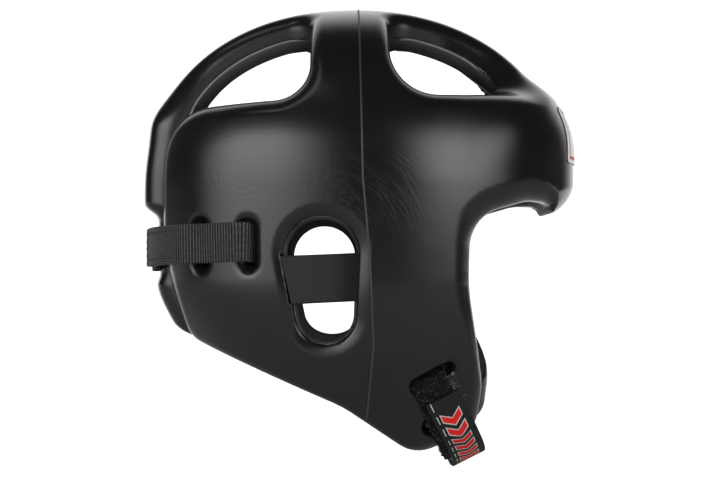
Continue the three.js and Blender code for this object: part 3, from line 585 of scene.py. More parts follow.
# Share of the seam that bends over the crown, and where the search for the skin starts and stops
SEAM_CROWN, SEAM_SEARCH, SEAM_LOW_SEARCH, SEAM_LOW_FROM = 0.42, (84.0, 125.0), 70.0, 0.75
# Where the seam runs, seen from the side: x at heights
SEAM_Z = np.array([14.0, -90, -135, -183, -218, -240])
SEAM_X = np.array([0.0, 2, 6, 8, 5, 2])
# Foam that was trimmed is a little paler and duller than the moulded skin
trimmed_foam = new_material("trimmed foam", Base_Color=(0.03, 0.03, 0.031, 1), Roughness=0.5)[0]


def tube_faces(rings, around):
    """Quads of a tube of rings with points around each, closed by a strip of quads over each end ring."""
    i, j = np.meshgrid(np.arange(rings - 1), np.arange(around), indexing="ij")
    a, b = i * around + j, i * around + (j + 1) % around
    sides = np.stack([a, b, b + around, a + around], -1).reshape(-1, 4)
    k = np.arange(around // 2 - 1)
    cap = np.stack([k, (around - 1 - k), (around - 2 - k), k + 1], 1)
    return np.concatenate([sides, cap, cap[:, ::-1] + (rings - 1) * around])[:, ::-1]


def furthest(inner, outer, passes):
    """Furthest reach that passes a test, between one that does and one that doesn't, found by halving."""
    for _ in range(24):
        middle = (inner + outer) / 2
        passed = passes(middle)
        inner, outer = np.where(passed, middle, inner), np.where(passed, outer, middle)
    return inner


def seam_points():
    """Points of the foam's outside along the seam: for each angle round the crown, and then each level down
    the sides, the ray from a level axis is followed to the furthest foam."""
    turn = np.linspace(-1, 1, SEAM_COUNT)
    drop = np.maximum(np.abs(turn) - SEAM_CROWN, 0) / (1 - SEAM_CROWN)
    centre_z = LEVELS[0] + drop * (SEAM_LOW_Z - LEVELS[0])
    angle = np.clip(turn / SEAM_CROWN, -1, 1) * np.pi / 2

    def place(reach):
        height = centre_z + reach * np.cos(angle)
        return np.interp(-height, -SEAM_Z, SEAM_X), reach * np.sin(angle), height

    inner = np.where(drop > SEAM_LOW_FROM, SEAM_LOW_SEARCH, SEAM_SEARCH[0])
    reach = furthest(inner, np.full(SEAM_COUNT, SEAM_SEARCH[1]), lambda r: foam_body(*place(r)) < 0)
    return np.stack(place(reach), 1)


def raised_bead(line, half_wide, proud, sunk):
    """Bead along a line on the foam: an ellipse square to the line, partly sunk in the skin."""
    out = unit(slope_of(foam_body, line))
    side = unit(np.cross(np.gradient(line, axis=0), out))
    angle = np.linspace(0, 2 * np.pi, BEAD_AROUND, endpoint=False)
    across, rise = half_wide * np.cos(angle), np.sin(angle)
    rise = np.where(rise > 0, proud, sunk) * rise
    return line[:, None] + across[None, :, None] * side[:, None] + rise[None, :, None] * out[:, None]


bead = raised_bead(seam_points(), SEAM_HALF_WIDE, SEAM_PROUD, SEAM_SUNK)
bead[..., 0] += forward_of_cheek(*np.moveaxis(bead, -1, 0))
faces = tube_faces(SEAM_COUNT, BEAD_AROUND)
parting_line = put_mesh("parting_line", bead.reshape(-1, 3), faces, trimmed_foam)
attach(parting_line, "root")

# Arch lips
# Thin lips of foam along the inner edges of the arch from brow to nape, in its front and rear openings,
# where the core of the mould met its outer halves.
LIP_HALF_WIDE, LIP_PROUD, LIP_SUNK, LIP_POINTS = 0.7, 0.6, 0.8, 160
LIP_INSET, LIP_WALL, LIP_EVEN, LIP_SEARCH = 4, 8, 9, (70.0, 125.0)
# Where a lip starts and stops, as angles in degrees above level, seen from the side
LIP_FRONT, LIP_REAR = (28, 75), (156, 109)
# The lips' pale grey colour is a painted highlight along the arch's inner edges.
lip_painted_highlight = new_material("lip painted highlight", Base_Color=(0.2, 0.2, 0.203, 1), Roughness=0.4)[0]


def lip_line(side, angles):
    """Line of a lip: for each angle from a level axis, the place on the arch's edge where the hollow ends,
    set onto the foam and evened out over its neighbours."""
    angle = np.radians(np.linspace(*angles, LIP_POINTS))

    def place(reach):
        x, z = reach * np.cos(angle), LEVELS[0] + reach * np.sin(angle)
        return x, arch_half_width(x, z), z

    def hollow(reach):
        x, y, z = place(reach)
        return (foam_body(x, y - LIP_INSET, z) > 0) & (skin_distance(x, y, z, 0) < -LIP_WALL)

    x, y, z = place(furthest(*(np.full(LIP_POINTS, end) for end in LIP_SEARCH), hollow))
    line = onto(foam_body, np.stack([x, side * y, z], 1), 6)
    padded = np.pad(line, ((LIP_EVEN, LIP_EVEN), (0, 0)), "reflect", reflect_type="odd")
    share = np.ones(2 * LIP_EVEN + 1) / (2 * LIP_EVEN + 1)
    return np.stack([np.convolve(column, share, "valid") for column in padded.T], 1)


for side, name in ((-1, "right"), (1, "left")):
    for end, angles in (("front", LIP_FRONT), ("rear", LIP_REAR)):
        bead = raised_bead(lip_line(side, angles), LIP_HALF_WIDE, LIP_PROUD, LIP_SUNK)
        faces = tube_faces(LIP_POINTS, BEAD_AROUND)
        lip = put_mesh(f"arch_lip_{end}_{name}", bead.reshape(-1, 3), faces, lip_painted_highlight)
        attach(lip, "root")

# Rear straps
# Two straps of ribbed polyester webbing that close at the back with hook and loop, the right one over the
# left. Each goes in at its first slot, behind the foam, out of the second and is sewn to its own inside.
REAR_WIDE, REAR_THICK, REAR_DEEP, REAR_SECOND_DEEP, SLOT_BEND = 22, 1.5, 28, 25, 6.5
REAR_END_RIGHT, REAR_END_LEFT, REAR_CLIMB, REAR_TAIL = 62, 40, 12, 55
REAR_OVER = 3.3
ON_BRIDGE, OUTER_LAYER, INNER_LAYER = 1.2, 2.65, 1.15
REAR_BACK_Z, REAR_RISE, LEFT_DROP = -127.8, 2.5, 2.7
# Stretches along a strap, from its slot or its free end: where it climbs, drops and turns from twill to ribs
BRIDGE_RISE, DROP_FROM, DROP_TO, RIB_FROM = (26, 46), (38, 66), (180, 100), (44, 34)
RIB_PITCH, RIB_HIGH, STRAP_STEP, TWILL_FLAT, TWILL_LOST = 1.8, 0.22, 0.3, 0.9, 0.55
THREAD_THICK, STITCH_PITCH, STITCH_LONG, STITCH_ROW = 0.8, 3.4, 2.2, 7.6
ZIGZAG_POINTS, ZIGZAG_PITCH, ZIGZAG_SWING, ZIGZAG_PROUD = 120, 4.2, 3, 0.35


def looped_path(line, centre, reach, lift, tail_lift, bridge, deep, second_deep, tail):
    """Middle line of a strap in its plane: outside a base line up to its slot, in there, behind the bridge,
    out of the second slot and back along its own inside, with each bend an arc."""
    clear = 2.2 * SLOT_BEND
    laid_from = np.append(np.arange(reach, clear, -1.0), 0)
    tail_from = bridge + np.append(0, np.arange(clear, tail, 1.0))
    at, _, out = slot_frame(line, laid_from, centre)
    laid = at + lift(laid_from)[:, None] * out
    at, _, out = slot_frame(line, tail_from, centre)
    inside = at + tail_lift(tail_from)[:, None] * out
    at, _, out = slot_frame(line, [0, bridge], centre)
    behind = at - np.array([[deep], [second_deep]]) * out
    bends = np.zeros(len(laid) + 2 + len(inside))
    bends[len(laid) - 1:len(laid) + 3] = SLOT_BEND
    return rounded_path(np.column_stack([np.concatenate([laid, behind, inside]), bends]), False)


def strap_section(wide, thick, count):
    """Section of a strap round its edge, across and out: a flat face, an edge, the other face and edge."""
    flat, low = np.linspace(wide / 2 - thick / 3, thick / 3 - wide / 2, count), thick / 2
    across = np.concatenate([flat, [-wide / 2, -wide / 2], flat[::-1], [wide / 2, wide / 2]])
    out = np.concatenate([0 * flat + low, [0.4 * low, -0.4 * low], 0 * flat - low, [-0.4 * low, 0.4 * low]])
    return across, out


def strap_frame(path, across):
    """Unit directions at a path's points: along it, across the strap, and square to both."""
    along = unit(np.gradient(path, axis=0))
    across = unit(across - (along @ across)[:, None] * along)
    return along, across, np.cross(across, along)


def ribbon(path, across, wide, thick, rib=None, count=12):
    """Strap: its section carried along a path, with its faces raised by rib, a height at each point of the
    path. Gives points, faces and the places along and across of the weave."""
    _, aside, out = strap_frame(path, across)
    a, b = strap_section(wide, thick, count)
    proud = b[None] + (0 if rib is None else rib[:, None] * np.sign(b) * (np.abs(b) > 0.45 * thick))
    points = path[:, None] + a[None, :, None] * aside[:, None] + proud[..., None] * out[:, None]
    weave = np.stack(np.broadcast_arrays(lengths_along(path)[:, None], a[None]), -1)
    return points.reshape(-1, 3), tube_faces(len(path), len(a)), weave.reshape(-1, 2)


def thread_tubes(lines, thick, around=6):
    """Threads along many lines at once: a ring of points at each point of a line, thinner at its ends. The
    ring's directions are square to the line and to one slanting direction that no line follows."""
    along = unit(np.gradient(lines, axis=1))
    aside = unit(np.cross(along, np.array([0.31, 0.52, 0.79])))
    up = np.cross(aside, along)
    angle = np.linspace(0, 2 * np.pi, around, endpoint=False)
    place = np.linspace(-1, 1, lines.shape[1])
    radius = thick / 2 * np.sqrt(1 - 0.9 * place ** 4)[None, :, None, None]
    ring = np.cos(angle)[:, None] * aside[:, :, None] + np.sin(angle)[:, None] * up[:, :, None]
    points = lines[:, :, None] + radius * ring
    one = tube_faces(lines.shape[1], around)
    start = np.arange(len(lines))[:, None, None] * lines.shape[1] * around
    return points.reshape(-1, 3), (one[None] + start).reshape(-1, 4)


# Woven threads, used by all straps and bands: ribs across the strap and the crossed yarns of a twill
woven, given, put_out = new_group(
    "Woven threads",
    [("Vector", "Vector", None), ("Rib Pitch", "Float", 1.7),
     ("Yarn Pitch", "Float", 1.6), ("Twill", "Float", 0.5)],
    [("Height", "Float"), ("Shade", "Float")])
u, v, _ = node(woven, "ShaderNodeSeparateXYZ", {0: given["Vector"]}).outputs
turns = 2 * np.pi


def yarn_wave(length, pitch):
    """Height of yarns side by side at a length, once in each pitch."""
    return reckon(woven, "SINE", reckon(woven, "MULTIPLY", reckon(woven, "DIVIDE", length, pitch), turns))


rib_wave = yarn_wave(u, given["Rib Pitch"])
crossed = reckon(woven, "MULTIPLY", yarn_wave(reckon(woven, "ADD", u, v), given["Yarn Pitch"]),
                 yarn_wave(reckon(woven, "SUBTRACT", u, v), given["Yarn Pitch"]))
plain = reckon(woven, "MULTIPLY", rib_wave, reckon(woven, "SUBTRACT", 1.0, given["Twill"]))
waves = reckon(woven, "ADD", plain, reckon(woven, "MULTIPLY", crossed, given["Twill"]))
woven.links.new(reckon(woven, "MULTIPLY_ADD", waves, 0.5, 0.5), put_out.inputs["Height"])
fuzz = node(woven, "ShaderNodeTexNoise", {"Vector": given["Vector"], "Scale": 1.1, "Detail": 3.0})
strong = node(woven, "ShaderNodeMapRange", {"Value": fuzz.outputs[0], "From Min": 0.3, "From Max": 0.75})
woven.links.new(strong.outputs[0], put_out.inputs["Shade"])


def woven_material(name, dark, light, weave, depth, roughness=0.8):
    """A cloth's material: its colour between dark and light by the yarns' height, the lighter crests a painted
    highlight that varies with the random tone of Shade, and bump from that height. A value of the weave is a
    number, or the name of a share in the mesh."""
    material, tree, shader = new_material(name, Roughness=roughness, Specular_IOR_Level=0.4)
    place = node(tree, "ShaderNodeUVMap", uv_map="weave").outputs[0]
    yarns = node(tree, "ShaderNodeGroup", {}, node_tree=woven)
    tree.links.new(place, yarns.inputs["Vector"])
    for label, value in weave.items():
        if isinstance(value, str):
            share = node(tree, "ShaderNodeAttribute", attribute_name=value).outputs["Fac"]
            tree.links.new(share, yarns.inputs[label])
        else:
            yarns.inputs[label].default_value = value
    # Crests painted lighter: a painted highlight standing in for glints on the yarns, varied by random tone
    crest = reckon(tree, "POWER", yarns.outputs["Height"], 2.5)
    lit = reckon(tree, "MULTIPLY", crest, reckon(tree, "MULTIPLY_ADD", yarns.outputs["Shade"], 1.4, 0.1))
    colour = tint(tree, lit, dark, light)
    bump = node(tree, "ShaderNodeBump", {"Height": yarns.outputs["Height"], "Distance": depth * MM})
    tree.links.new(bump.outputs[0], shader.inputs["Normal"])
    tree.links.new(colour, shader.inputs["Base Color"])
    return material, tree, shader, place, colour


# The second colour is the painted highlight on the yarn crests
webbing = woven_material("rear webbing", (0.003, 0.003, 0.003, 1), (0.2, 0.2, 0.204, 1),
                         {"Rib Pitch": RIB_PITCH, "Yarn Pitch": 2.0, "Twill": "twill"}, 0.8, 0.6)[0]
thread_black = new_material("black thread", Base_Color=(0.008, 0.008, 0.008, 1), Roughness=0.6)[0]
thread_grey = new_material("grey thread", Base_Color=(0.2, 0.2, 0.2, 1), Roughness=0.6)[0]


def rear_path(side, reach, raised):
    """Middle line of a rear strap in space, and the length up to each of its points: its looped path in plan,
    at heights that rise towards the slots."""
    lift = lambda d: ON_BRIDGE + (OUTER_LAYER - ON_BRIDGE) * ramp(*BRIDGE_RISE, d) + raised(d)
    tail_lift = lambda d: INNER_LAYER + raised(d)
    flat = looped_path(rear_line(side), REAR_CENTRE, reach, lift, tail_lift,
                       REAR_BRIDGE, REAR_DEEP, REAR_SECOND_DEEP, REAR_TAIL)
    length = even_spacing(flat, 2)[1]
    flat = even_spacing(flat, int(length / STRAP_STEP))[0]
    height = REAR_BACK_Z + REAR_RISE * (flat[:, 1] / REAR_SLOT) ** 2
    return np.column_stack([flat, height]), np.linspace(0, length, len(flat))


rear_length = even_spacing(REAR_LINE, 2)[1]
UPWARDS = np.array([0.0, 0, 1])
climb = REAR_END_LEFT - REAR_CLIMB, REAR_END_LEFT
for side, name, end, over in ((1, "left", REAR_END_LEFT, 0), (-1, "right", REAR_END_RIGHT, REAR_OVER)):
    reach = rear_length - end
    path, at = rear_path(side, reach, lambda d: over * ramp(*climb, d))
    if side > 0:
        path[:, 2] -= LEFT_DROP * ramp(*DROP_FROM, at) * ramp(*DROP_TO, at)
    ribbed = ramp(*RIB_FROM, reach - at)
    rib = RIB_HIGH * np.sin(turns * at / RIB_PITCH) * ribbed
    points, faces, weave = ribbon(path, UPWARDS, REAR_WIDE, REAR_THICK, rib)
    twill = np.repeat(TWILL_FLAT - TWILL_LOST * ribbed, len(points) // len(path))
    strap = put_mesh(f"rear_strap_{name}_webbing", points, faces, webbing, weave=weave, twill=twill)
    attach(strap, "root")
    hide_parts(f"rear_strap_{name}")

    # Lock stitches in two rows along the doubled part, each a low arch, and a zigzag over the end of the tail
    _, aside, out = strap_frame(path, UPWARDS)
    face = side * REAR_THICK / 2
    tail_end = reach - REAR_BRIDGE - REAR_TAIL
    starts = np.arange(tail_end + 6, reach - REAR_BRIDGE - 2, STITCH_PITCH)
    where = starts[:, None] + np.linspace(0, STITCH_LONG, 5)
    middle, across, proud = (rows_at(table, at, where) for table in (path, aside, out))
    arch = (0.25 - 0.5 * np.linspace(-1, 1, 5) ** 2)[None, :, None]
    rows = [middle + v * across + (face + side * arch) * proud for v in (-STITCH_ROW, STITCH_ROW)]
    points, faces = thread_tubes(np.concatenate(rows), THREAD_THICK)
    stitches = put_mesh(f"rear_stitches_{name}", points, faces, thread_black)
    zig = np.linspace(-REAR_WIDE / 2 + 1, REAR_WIDE / 2 - 1, ZIGZAG_POINTS)
    swing = 2 / np.pi * np.arcsin(np.sin(turns * zig / ZIGZAG_PITCH))
    where = tail_end + 5 + ZIGZAG_SWING * swing
    middle, across, proud = (rows_at(table, at, where) for table in (path, aside, out))
    loops = middle + zig[:, None] * across + (face + side * ZIGZAG_PROUD) * proud
    points, faces = thread_tubes(loops[None], THREAD_THICK)
    zigzag = put_mesh(f"rear_zigzag_{name}", points, faces, thread_grey)
    for piece in (stitches, zigzag):
        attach(piece, "root")

# Ear bands
# A strip of woven elastic across each ear hole. Its rear end lies in a seat in the rim, and its front end is
# let into the wall of the hole; both are glued.
EAR_HIGH, EAR_THICK, EAR_POINTS, EAR_TILT, EAR_LEVEL_X, EAR_SLANT_X = 27, 1.7, 90, 0.045, -25, (-25, -41)
# Line of a band in plan: x, distance from the middle plane and the radius of the bend there
EAR_LINE = [(-40.6, 96, 0), (-36, 95.2, 20), (-20, 90, 20), (4, 86, 0)]
# The second colour is the painted highlight on the yarn crests
elastic = woven_material("elastic", (0.008, 0.008, 0.0083, 1), (0.03, 0.03, 0.031, 1),
                         {"Rib Pitch": 0.7, "Yarn Pitch": 0.5, "Twill": 0.6}, 0.05, 0.6)[0]
for side, name in ((-1, "right"), (1, "left")):
    flat = even_spacing(rounded_path(EAR_LINE, False), EAR_POINTS)[0]
    height = EAR_BAND_Z + EAR_TILT * (flat[:, 0] - EAR_LEVEL_X)
    path = np.column_stack([flat[:, 0], side * flat[:, 1], height])
    points, faces, weave = ribbon(path, UPWARDS, EAR_HIGH, EAR_THICK, count=24)
    points[:, 0] -= EAR_SLANT * (points[:, 2] - EAR_BAND_Z) * ramp(*EAR_SLANT_X, points[:, 0])
    band = put_mesh(f"ear_band_{name}_elastic", points, faces, elastic, weave=weave)
    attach(band, "root")
    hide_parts(f"ear_band_{name}")

# Chin straps
# The right one is a short strap of loop pile. The left one is a woven band that passes under the chin and is
# pressed onto the pile by hook tape on its inside; red and white chevrons are woven into its outside.
CHIN_THICK, CHIN_DEEP, CHIN_END_RIGHT, CHIN_END_LEFT, CHIN_CLIMB, CHIN_TAIL = 1.25, 24, 130, 10.5, 30, 24
CHIN_OVER, CHIN_LAYER, CHIN_INSIDE, CHIN_LOW = 1.5, 2.25, 1.0, 1.1
BAND_ASIDE, PILE_ASIDE, PILE_TIGHT, PILE_FROM = 2.4, -1.6, 6.5, 30
# Stretches along a chin strap over which it rises from the foam and moves aside, and the step of its points
CHIN_RISE, BAND_ASIDE_FROM, PILE_ASIDE_OVER, CHIN_STEP = (22, 40), (110, 40), 30, 0.5


def chin_path(line, reach, raised):
    """Middle line of a chin strap in space, and the length up to each of its points: its looped path, set
    into the plane that leans forward."""
    lift = lambda d: CHIN_LOW + (CHIN_LAYER - CHIN_LOW) * ramp(*CHIN_RISE, d) + raised(d)
    tail_lift = lambda d: CHIN_INSIDE + raised(d)
    flat = looped_path(line, CHIN_CENTRE, reach, lift, tail_lift,
                       CHIN_BRIDGE, CHIN_DEEP, CHIN_DEEP, CHIN_TAIL)
    length = even_spacing(flat, 2)[1]
    flat = even_spacing(flat, int(length / CHIN_STEP))[0]
    path = CHIN_SLOT + flat[:, :1] * np.array([0, 1, 0]) - flat[:, 1:] * CHIN_DOWN
    return path, np.linspace(0, length, len(flat))


# The second colour is the painted highlight on the yarn crests
pile_cloth = woven_material("loop pile", (0.002, 0.002, 0.002, 1), (0.012, 0.012, 0.012, 1),
                            {"Rib Pitch": 1.1, "Yarn Pitch": 0.8, "Twill": 0.6}, 0.2, 0.95)[0]
pile_yarn = new_material("pile yarn", Base_Color=(0.004, 0.004, 0.004, 1), Roughness=0.7,
                         Specular_IOR_Level=0.3)[0]
pale_yarn = new_material("pale pile yarn", Base_Color=(0.1, 0.1, 0.1, 1), Roughness=0.7)[0]
pile_line = chin_line(-1, PILE_TIGHT)
pile_reach = even_spacing(pile_line, 2)[1] - CHIN_END_RIGHT
pile_path, pile_at = chin_path(pile_line, pile_reach, lambda d: 0 * d)
aside = PILE_ASIDE * ramp(pile_reach, pile_reach - PILE_ASIDE_OVER, pile_at)
pile_path = pile_path + aside[:, None] * CHIN_ACROSS
points, faces, weave = ribbon(pile_path, CHIN_ACROSS, CHIN_WIDE, CHIN_THICK)
pile_strap = put_mesh("chin_strap_right_cloth", points, faces, pile_cloth, weave=weave)
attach(pile_strap, "root")
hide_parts("chin_strap_right")

# Loops of the pile: arcs that rise from the strap's outside and go back into it
PILE_COUNT, PALE_COUNT, PILE_HIGH, PILE_SPAN, PILE_TURN, PILE_PRESSED = 3600, 620, 1.1, 1.7, 8, 0.2
PILE_THICK, PILE_AROUND, PILE_EDGE, PRESSED_FROM, PRESSED_EDGE = 0.22, 4, 0.53, (14, 18), (0.5, 0.4)
draw = np.random.default_rng(5)
along, aside, out = strap_frame(pile_path, CHIN_ACROSS)
slot_at = pile_reach + PILE_TURN
foot = draw.uniform(PILE_FROM, slot_at, PILE_COUNT)
across = draw.uniform(-PILE_EDGE, PILE_EDGE, PILE_COUNT) * CHIN_WIDE
bearing = draw.uniform(0, turns, PILE_COUNT)
tables = pile_path, along, aside, out
middle, along, aside, out = (rows_at(table, pile_at, foot)[:, None] for table in tables)
t = np.linspace(0, 1, 6)[None, :, None]
span = draw.uniform(0.6, 1, (PILE_COUNT, 1, 1)) * PILE_SPAN
heading = np.cos(bearing)[:, None, None] * along + np.sin(bearing)[:, None, None] * aside
covered = ramp(*PRESSED_FROM, slot_at - foot) * ramp(*PRESSED_EDGE, np.abs(across) / CHIN_WIDE)
high = PILE_HIGH * (1 - (1 - PILE_PRESSED) * covered)[:, None, None]
rise = draw.uniform(0.5, 1, (PILE_COUNT, 1, 1)) * high * 4 * t * (1 - t)
base = middle + across[:, None, None] * aside + CHIN_THICK * 0.45 * out
loops = base + (t - 0.5) * span * heading + rise * out
dark_and_pale = ("pile", loops[PALE_COUNT:], pile_yarn), ("pale_pile", loops[:PALE_COUNT], pale_yarn)
for name, some, yarn in dark_and_pale:
    points, faces = thread_tubes(some, PILE_THICK, PILE_AROUND)
    pile = put_mesh(f"chin_strap_right_{name}", points, faces, yarn)
    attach(pile, "root")

band_line = chin_line(1)
band_reach = even_spacing(band_line, 2)[1] - CHIN_END_LEFT
over = lambda d: CHIN_OVER * ramp(CHIN_END_RIGHT - CHIN_CLIMB, CHIN_END_RIGHT, d)
band_path, band_at = chin_path(band_line, band_reach, over)
band_path = band_path + (BAND_ASIDE * ramp(*BAND_ASIDE_FROM, band_at))[:, None] * CHIN_ACROSS

# Woven band: chevrons of red yarn with white edges, stepped by the threads, and a dashed white line beside
CHEVRON_PITCH, CHEVRON_RED, CHEVRON_EDGE, CHEVRON_HALF, CHEVRON_SLOPE = 9.0, 4.6, 0.7, 6.2, 0.8
THREAD, DESIGN_FROM, DESIGN_TO = 0.25, 12, 111
DASH_AT, DASH_WIDE, DASH_PITCH, DASH_SHARE = -7.8, 0.6, 9.0, 0.6
YARN_WHITE, YARN_RED = (0.62, 0.62, 0.6, 1), (0.78, 0.012, 0.012, 1)
# The second colour is the painted highlight on the yarn crests
chin_band, tree, shader, place, cloth = woven_material(
    "chin band", (0.003, 0.003, 0.003, 1), (0.034, 0.034, 0.035, 1),
    {"Rib Pitch": 0.8, "Yarn Pitch": 0.8, "Twill": 0.5}, 0.12)
u, v, _ = node(tree, "ShaderNodeSeparateXYZ", {0: place}).outputs
u, v = reckon(tree, "SNAP", u, THREAD), reckon(tree, "SNAP", v, THREAD)
aside = reckon(tree, "ABSOLUTE", v)
slanted = reckon(tree, "MULTIPLY_ADD", aside, CHEVRON_SLOPE, reckon(tree, "SUBTRACT", u, DESIGN_FROM))
phase = reckon(tree, "FLOORED_MODULO", slanted, CHEVRON_PITCH)


def within(value, middle, half):
    """1 where a value lies within half of a middle, else 0."""
    return reckon(tree, "COMPARE", value, middle, half)


def chevrons(red_half, design_half):
    """1 on chevrons of a half length along the band, within a half width of its middle, else 0."""
    on_band = within(slanted, (DESIGN_TO - DESIGN_FROM) / 2, (DESIGN_TO - DESIGN_FROM) / 2)
    in_design = reckon(tree, "MULTIPLY", on_band, within(v, 0.0, design_half))
    return reckon(tree, "MULTIPLY", within(phase, CHEVRON_PITCH / 2, red_half), in_design)


edge_of = chevrons(CHEVRON_RED / 2 + CHEVRON_EDGE, CHEVRON_HALF)
red_of = chevrons(CHEVRON_RED / 2, CHEVRON_HALF - CHEVRON_EDGE)
dashes = reckon(tree, "LESS_THAN", reckon(tree, "FLOORED_MODULO", u, DASH_PITCH), DASH_PITCH * DASH_SHARE)
dash = reckon(tree, "MULTIPLY", within(v, DASH_AT, DASH_WIDE / 2), dashes)
drawn = tint(tree, reckon(tree, "MAXIMUM", edge_of, dash), cloth, YARN_WHITE)
drawn = tint(tree, red_of, drawn, YARN_RED)
tree.links.new(drawn, shader.inputs["Base Color"])

points, faces, weave = ribbon(band_path, CHIN_ACROSS, CHIN_WIDE, CHIN_THICK, count=20)
band = put_mesh("chin_strap_left_band", points, faces, chin_band, weave=weave)
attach(band, "root")
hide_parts("chin_strap_left")

# Frayed yarns at the band's cut end and light fibres caught at the pile's front edge
FRAY_COUNT, LINT_COUNT, FIBRE_THICK, FIBRE_AROUND, LINT_REACH = 150, 60, 0.16, 4, 18


def loose_fibres(start, heading, out, length, count):
    """Fibres from starts along headings, each bowed out and aside by a share of its length."""
    t = np.linspace(0, 1, 6)[None, :, None]
    bow = draw.normal(0, 0.25, (count, 1, 3))
    run = length[:, None, None] * (t * heading[:, None] + t ** 2 * (bow + 0.25 * out[:, None]))
    return start[:, None] + run


along, aside, out = strap_frame(band_path, CHIN_ACROSS)
across = draw.uniform(-CHIN_WIDE / 2, CHIN_WIDE / 2, FRAY_COUNT)[:, None]
start = band_path[0] + across * aside[0] + draw.uniform(-0.4, 0.4, (FRAY_COUNT, 1)) * out[0] + 0.5 * along[0]
ends = draw.normal(0, 0.25, (FRAY_COUNT, 3)) - along[0]
lines = loose_fibres(start, ends, out[:1], draw.uniform(0.8, 2.2, FRAY_COUNT), FRAY_COUNT)
points, faces = thread_tubes(lines, FIBRE_THICK, FIBRE_AROUND)
fray = put_mesh("chin_band_fray", points, faces, pile_yarn)
_, aside, out = strap_frame(pile_path, CHIN_ACROSS)
foot = draw.uniform(pile_reach - LINT_REACH, pile_reach + 1, LINT_COUNT)
middle, aside, out = (rows_at(table, pile_at, foot) for table in (pile_path, aside, out))
across = draw.uniform(CHIN_WIDE / 2 - 2, CHIN_WIDE / 2, (LINT_COUNT, 1))
start = middle + across * aside + 0.6 * out
ends = aside + draw.normal(0, 0.6, (LINT_COUNT, 3)) + 0.4 * out
lines = loose_fibres(start, ends, out, draw.uniform(1.2, 3.4, LINT_COUNT), LINT_COUNT)
points, faces = thread_tubes(lines, FIBRE_THICK, FIBRE_AROUND)
lint_fibres = put_mesh("pile_edge_fibres", points, faces, thread_grey)
for piece in (fray, lint_fibres):
    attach(piece, "root")

# Forehead patch
# A thin white moulded badge with round corners, glued to the middle of the brow. A red line, raised a
# little, runs round it inside its edge.
PATCH_HALF, PATCH_TOP, PATCH_LOW, PATCH_CORNER, PATCH_WIDEN = 31, -45, -78.5, 4, 7.5
PATCH_LIFT, PATCH_THICK, PATCH_COLUMNS, PATCH_ROWS, PATCH_SEARCH = 0.2, 0.6, 61, 33, (100.0, 140.0)
BORDER_IN, BORDER_HALF, BORDER_RED = 3.2, 0.9, (0.5, 0.012, 0.014, 1)
PATCH_MIDDLE, PATCH_HALF_HIGH = (PATCH_TOP + PATCH_LOW) / 2, (PATCH_TOP - PATCH_LOW) / 2


def patch_grid(level):
    """Points over the brow at a level above the foam: rows of a rectangle with round corners, each as far
    along X as that level."""
    v = np.sin(np.linspace(-1, 1, PATCH_ROWS) * np.pi / 2)
    u = np.sin(np.linspace(-1, 1, PATCH_COLUMNS) * np.pi / 2)
    past = np.maximum(np.abs(v) * PATCH_HALF_HIGH - (PATCH_HALF_HIGH - PATCH_CORNER), 0)
    row_half = PATCH_HALF - PATCH_CORNER + np.sqrt(np.maximum(PATCH_CORNER ** 2 - past ** 2, 0))
    row_half = row_half + PATCH_WIDEN * (1 - v) / 2
    y = (row_half[:, None] * u[None]).ravel()
    z = np.repeat(PATCH_MIDDLE + v * PATCH_HALF_HIGH, PATCH_COLUMNS)
    near, far = (np.full(y.shape, end) for end in PATCH_SEARCH)
    x = furthest(near, far, lambda reach: foam_body(reach, y, z) < level)
    return np.stack([x, y, z], 1)


i, j = np.meshgrid(np.arange(PATCH_ROWS - 1), np.arange(PATCH_COLUMNS - 1), indexing="ij")
corner = (i * PATCH_COLUMNS + j).ravel()
quads = np.stack([corner, corner + 1, corner + PATCH_COLUMNS + 1, corner + PATCH_COLUMNS], 1)
number = np.arange(PATCH_ROWS * PATCH_COLUMNS).reshape(PATCH_ROWS, PATCH_COLUMNS)
rim = np.concatenate([number[0, :-1], number[:-1, -1], number[-1, :0:-1], number[:0:-1, 0]])
rim_next = np.roll(rim, -1)
layer = PATCH_ROWS * PATCH_COLUMNS
sides = np.stack([rim, rim_next, rim_next + layer, rim + layer], 1)
faces = np.concatenate([quads[:, ::-1], quads + layer, sides])
points = np.concatenate([patch_grid(PATCH_LIFT), patch_grid(PATCH_LIFT + PATCH_THICK)])
badge, tree, shader = new_material("badge", Roughness=0.45, IOR=1.5)
place = node(tree, "ShaderNodeUVMap", uv_map="weave").outputs[0]
u, v, _ = node(tree, "ShaderNodeSeparateXYZ", {0: place}).outputs
widened = -PATCH_WIDEN / (PATCH_TOP - PATCH_LOW)
half_wide = reckon(tree, "MULTIPLY_ADD", v, widened, PATCH_HALF + PATCH_WIDEN / 2)
from_side = reckon(tree, "SUBTRACT", half_wide, reckon(tree, "ABSOLUTE", u))
from_top = reckon(tree, "SUBTRACT", PATCH_HALF_HIGH, reckon(tree, "ABSOLUTE", v))
border = reckon(tree, "COMPARE", reckon(tree, "MINIMUM", from_side, from_top), BORDER_IN, BORDER_HALF)
marks = node(tree, "ShaderNodeGroup", {}, node_tree=handling)
tree.links.new(node(tree, "ShaderNodeTexCoord").outputs["Object"], marks.inputs["Vector"])
pale = tint(tree, marks.outputs["Blotches"], (0.93, 0.93, 0.92, 1), (0.97, 0.97, 0.96, 1))
tree.links.new(tint(tree, border, pale, BORDER_RED), shader.inputs["Base Color"])
bump = node(tree, "ShaderNodeBump", {"Height": border, "Distance": 0.25 * MM})
tree.links.new(bump.outputs[0], shader.inputs["Normal"])
weave = points[:, 1:] - np.array([0, PATCH_MIDDLE])
patch = put_mesh("forehead_patch_badge", points, faces, badge, weave=weave)
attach(patch, "root")
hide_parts("forehead_patch")

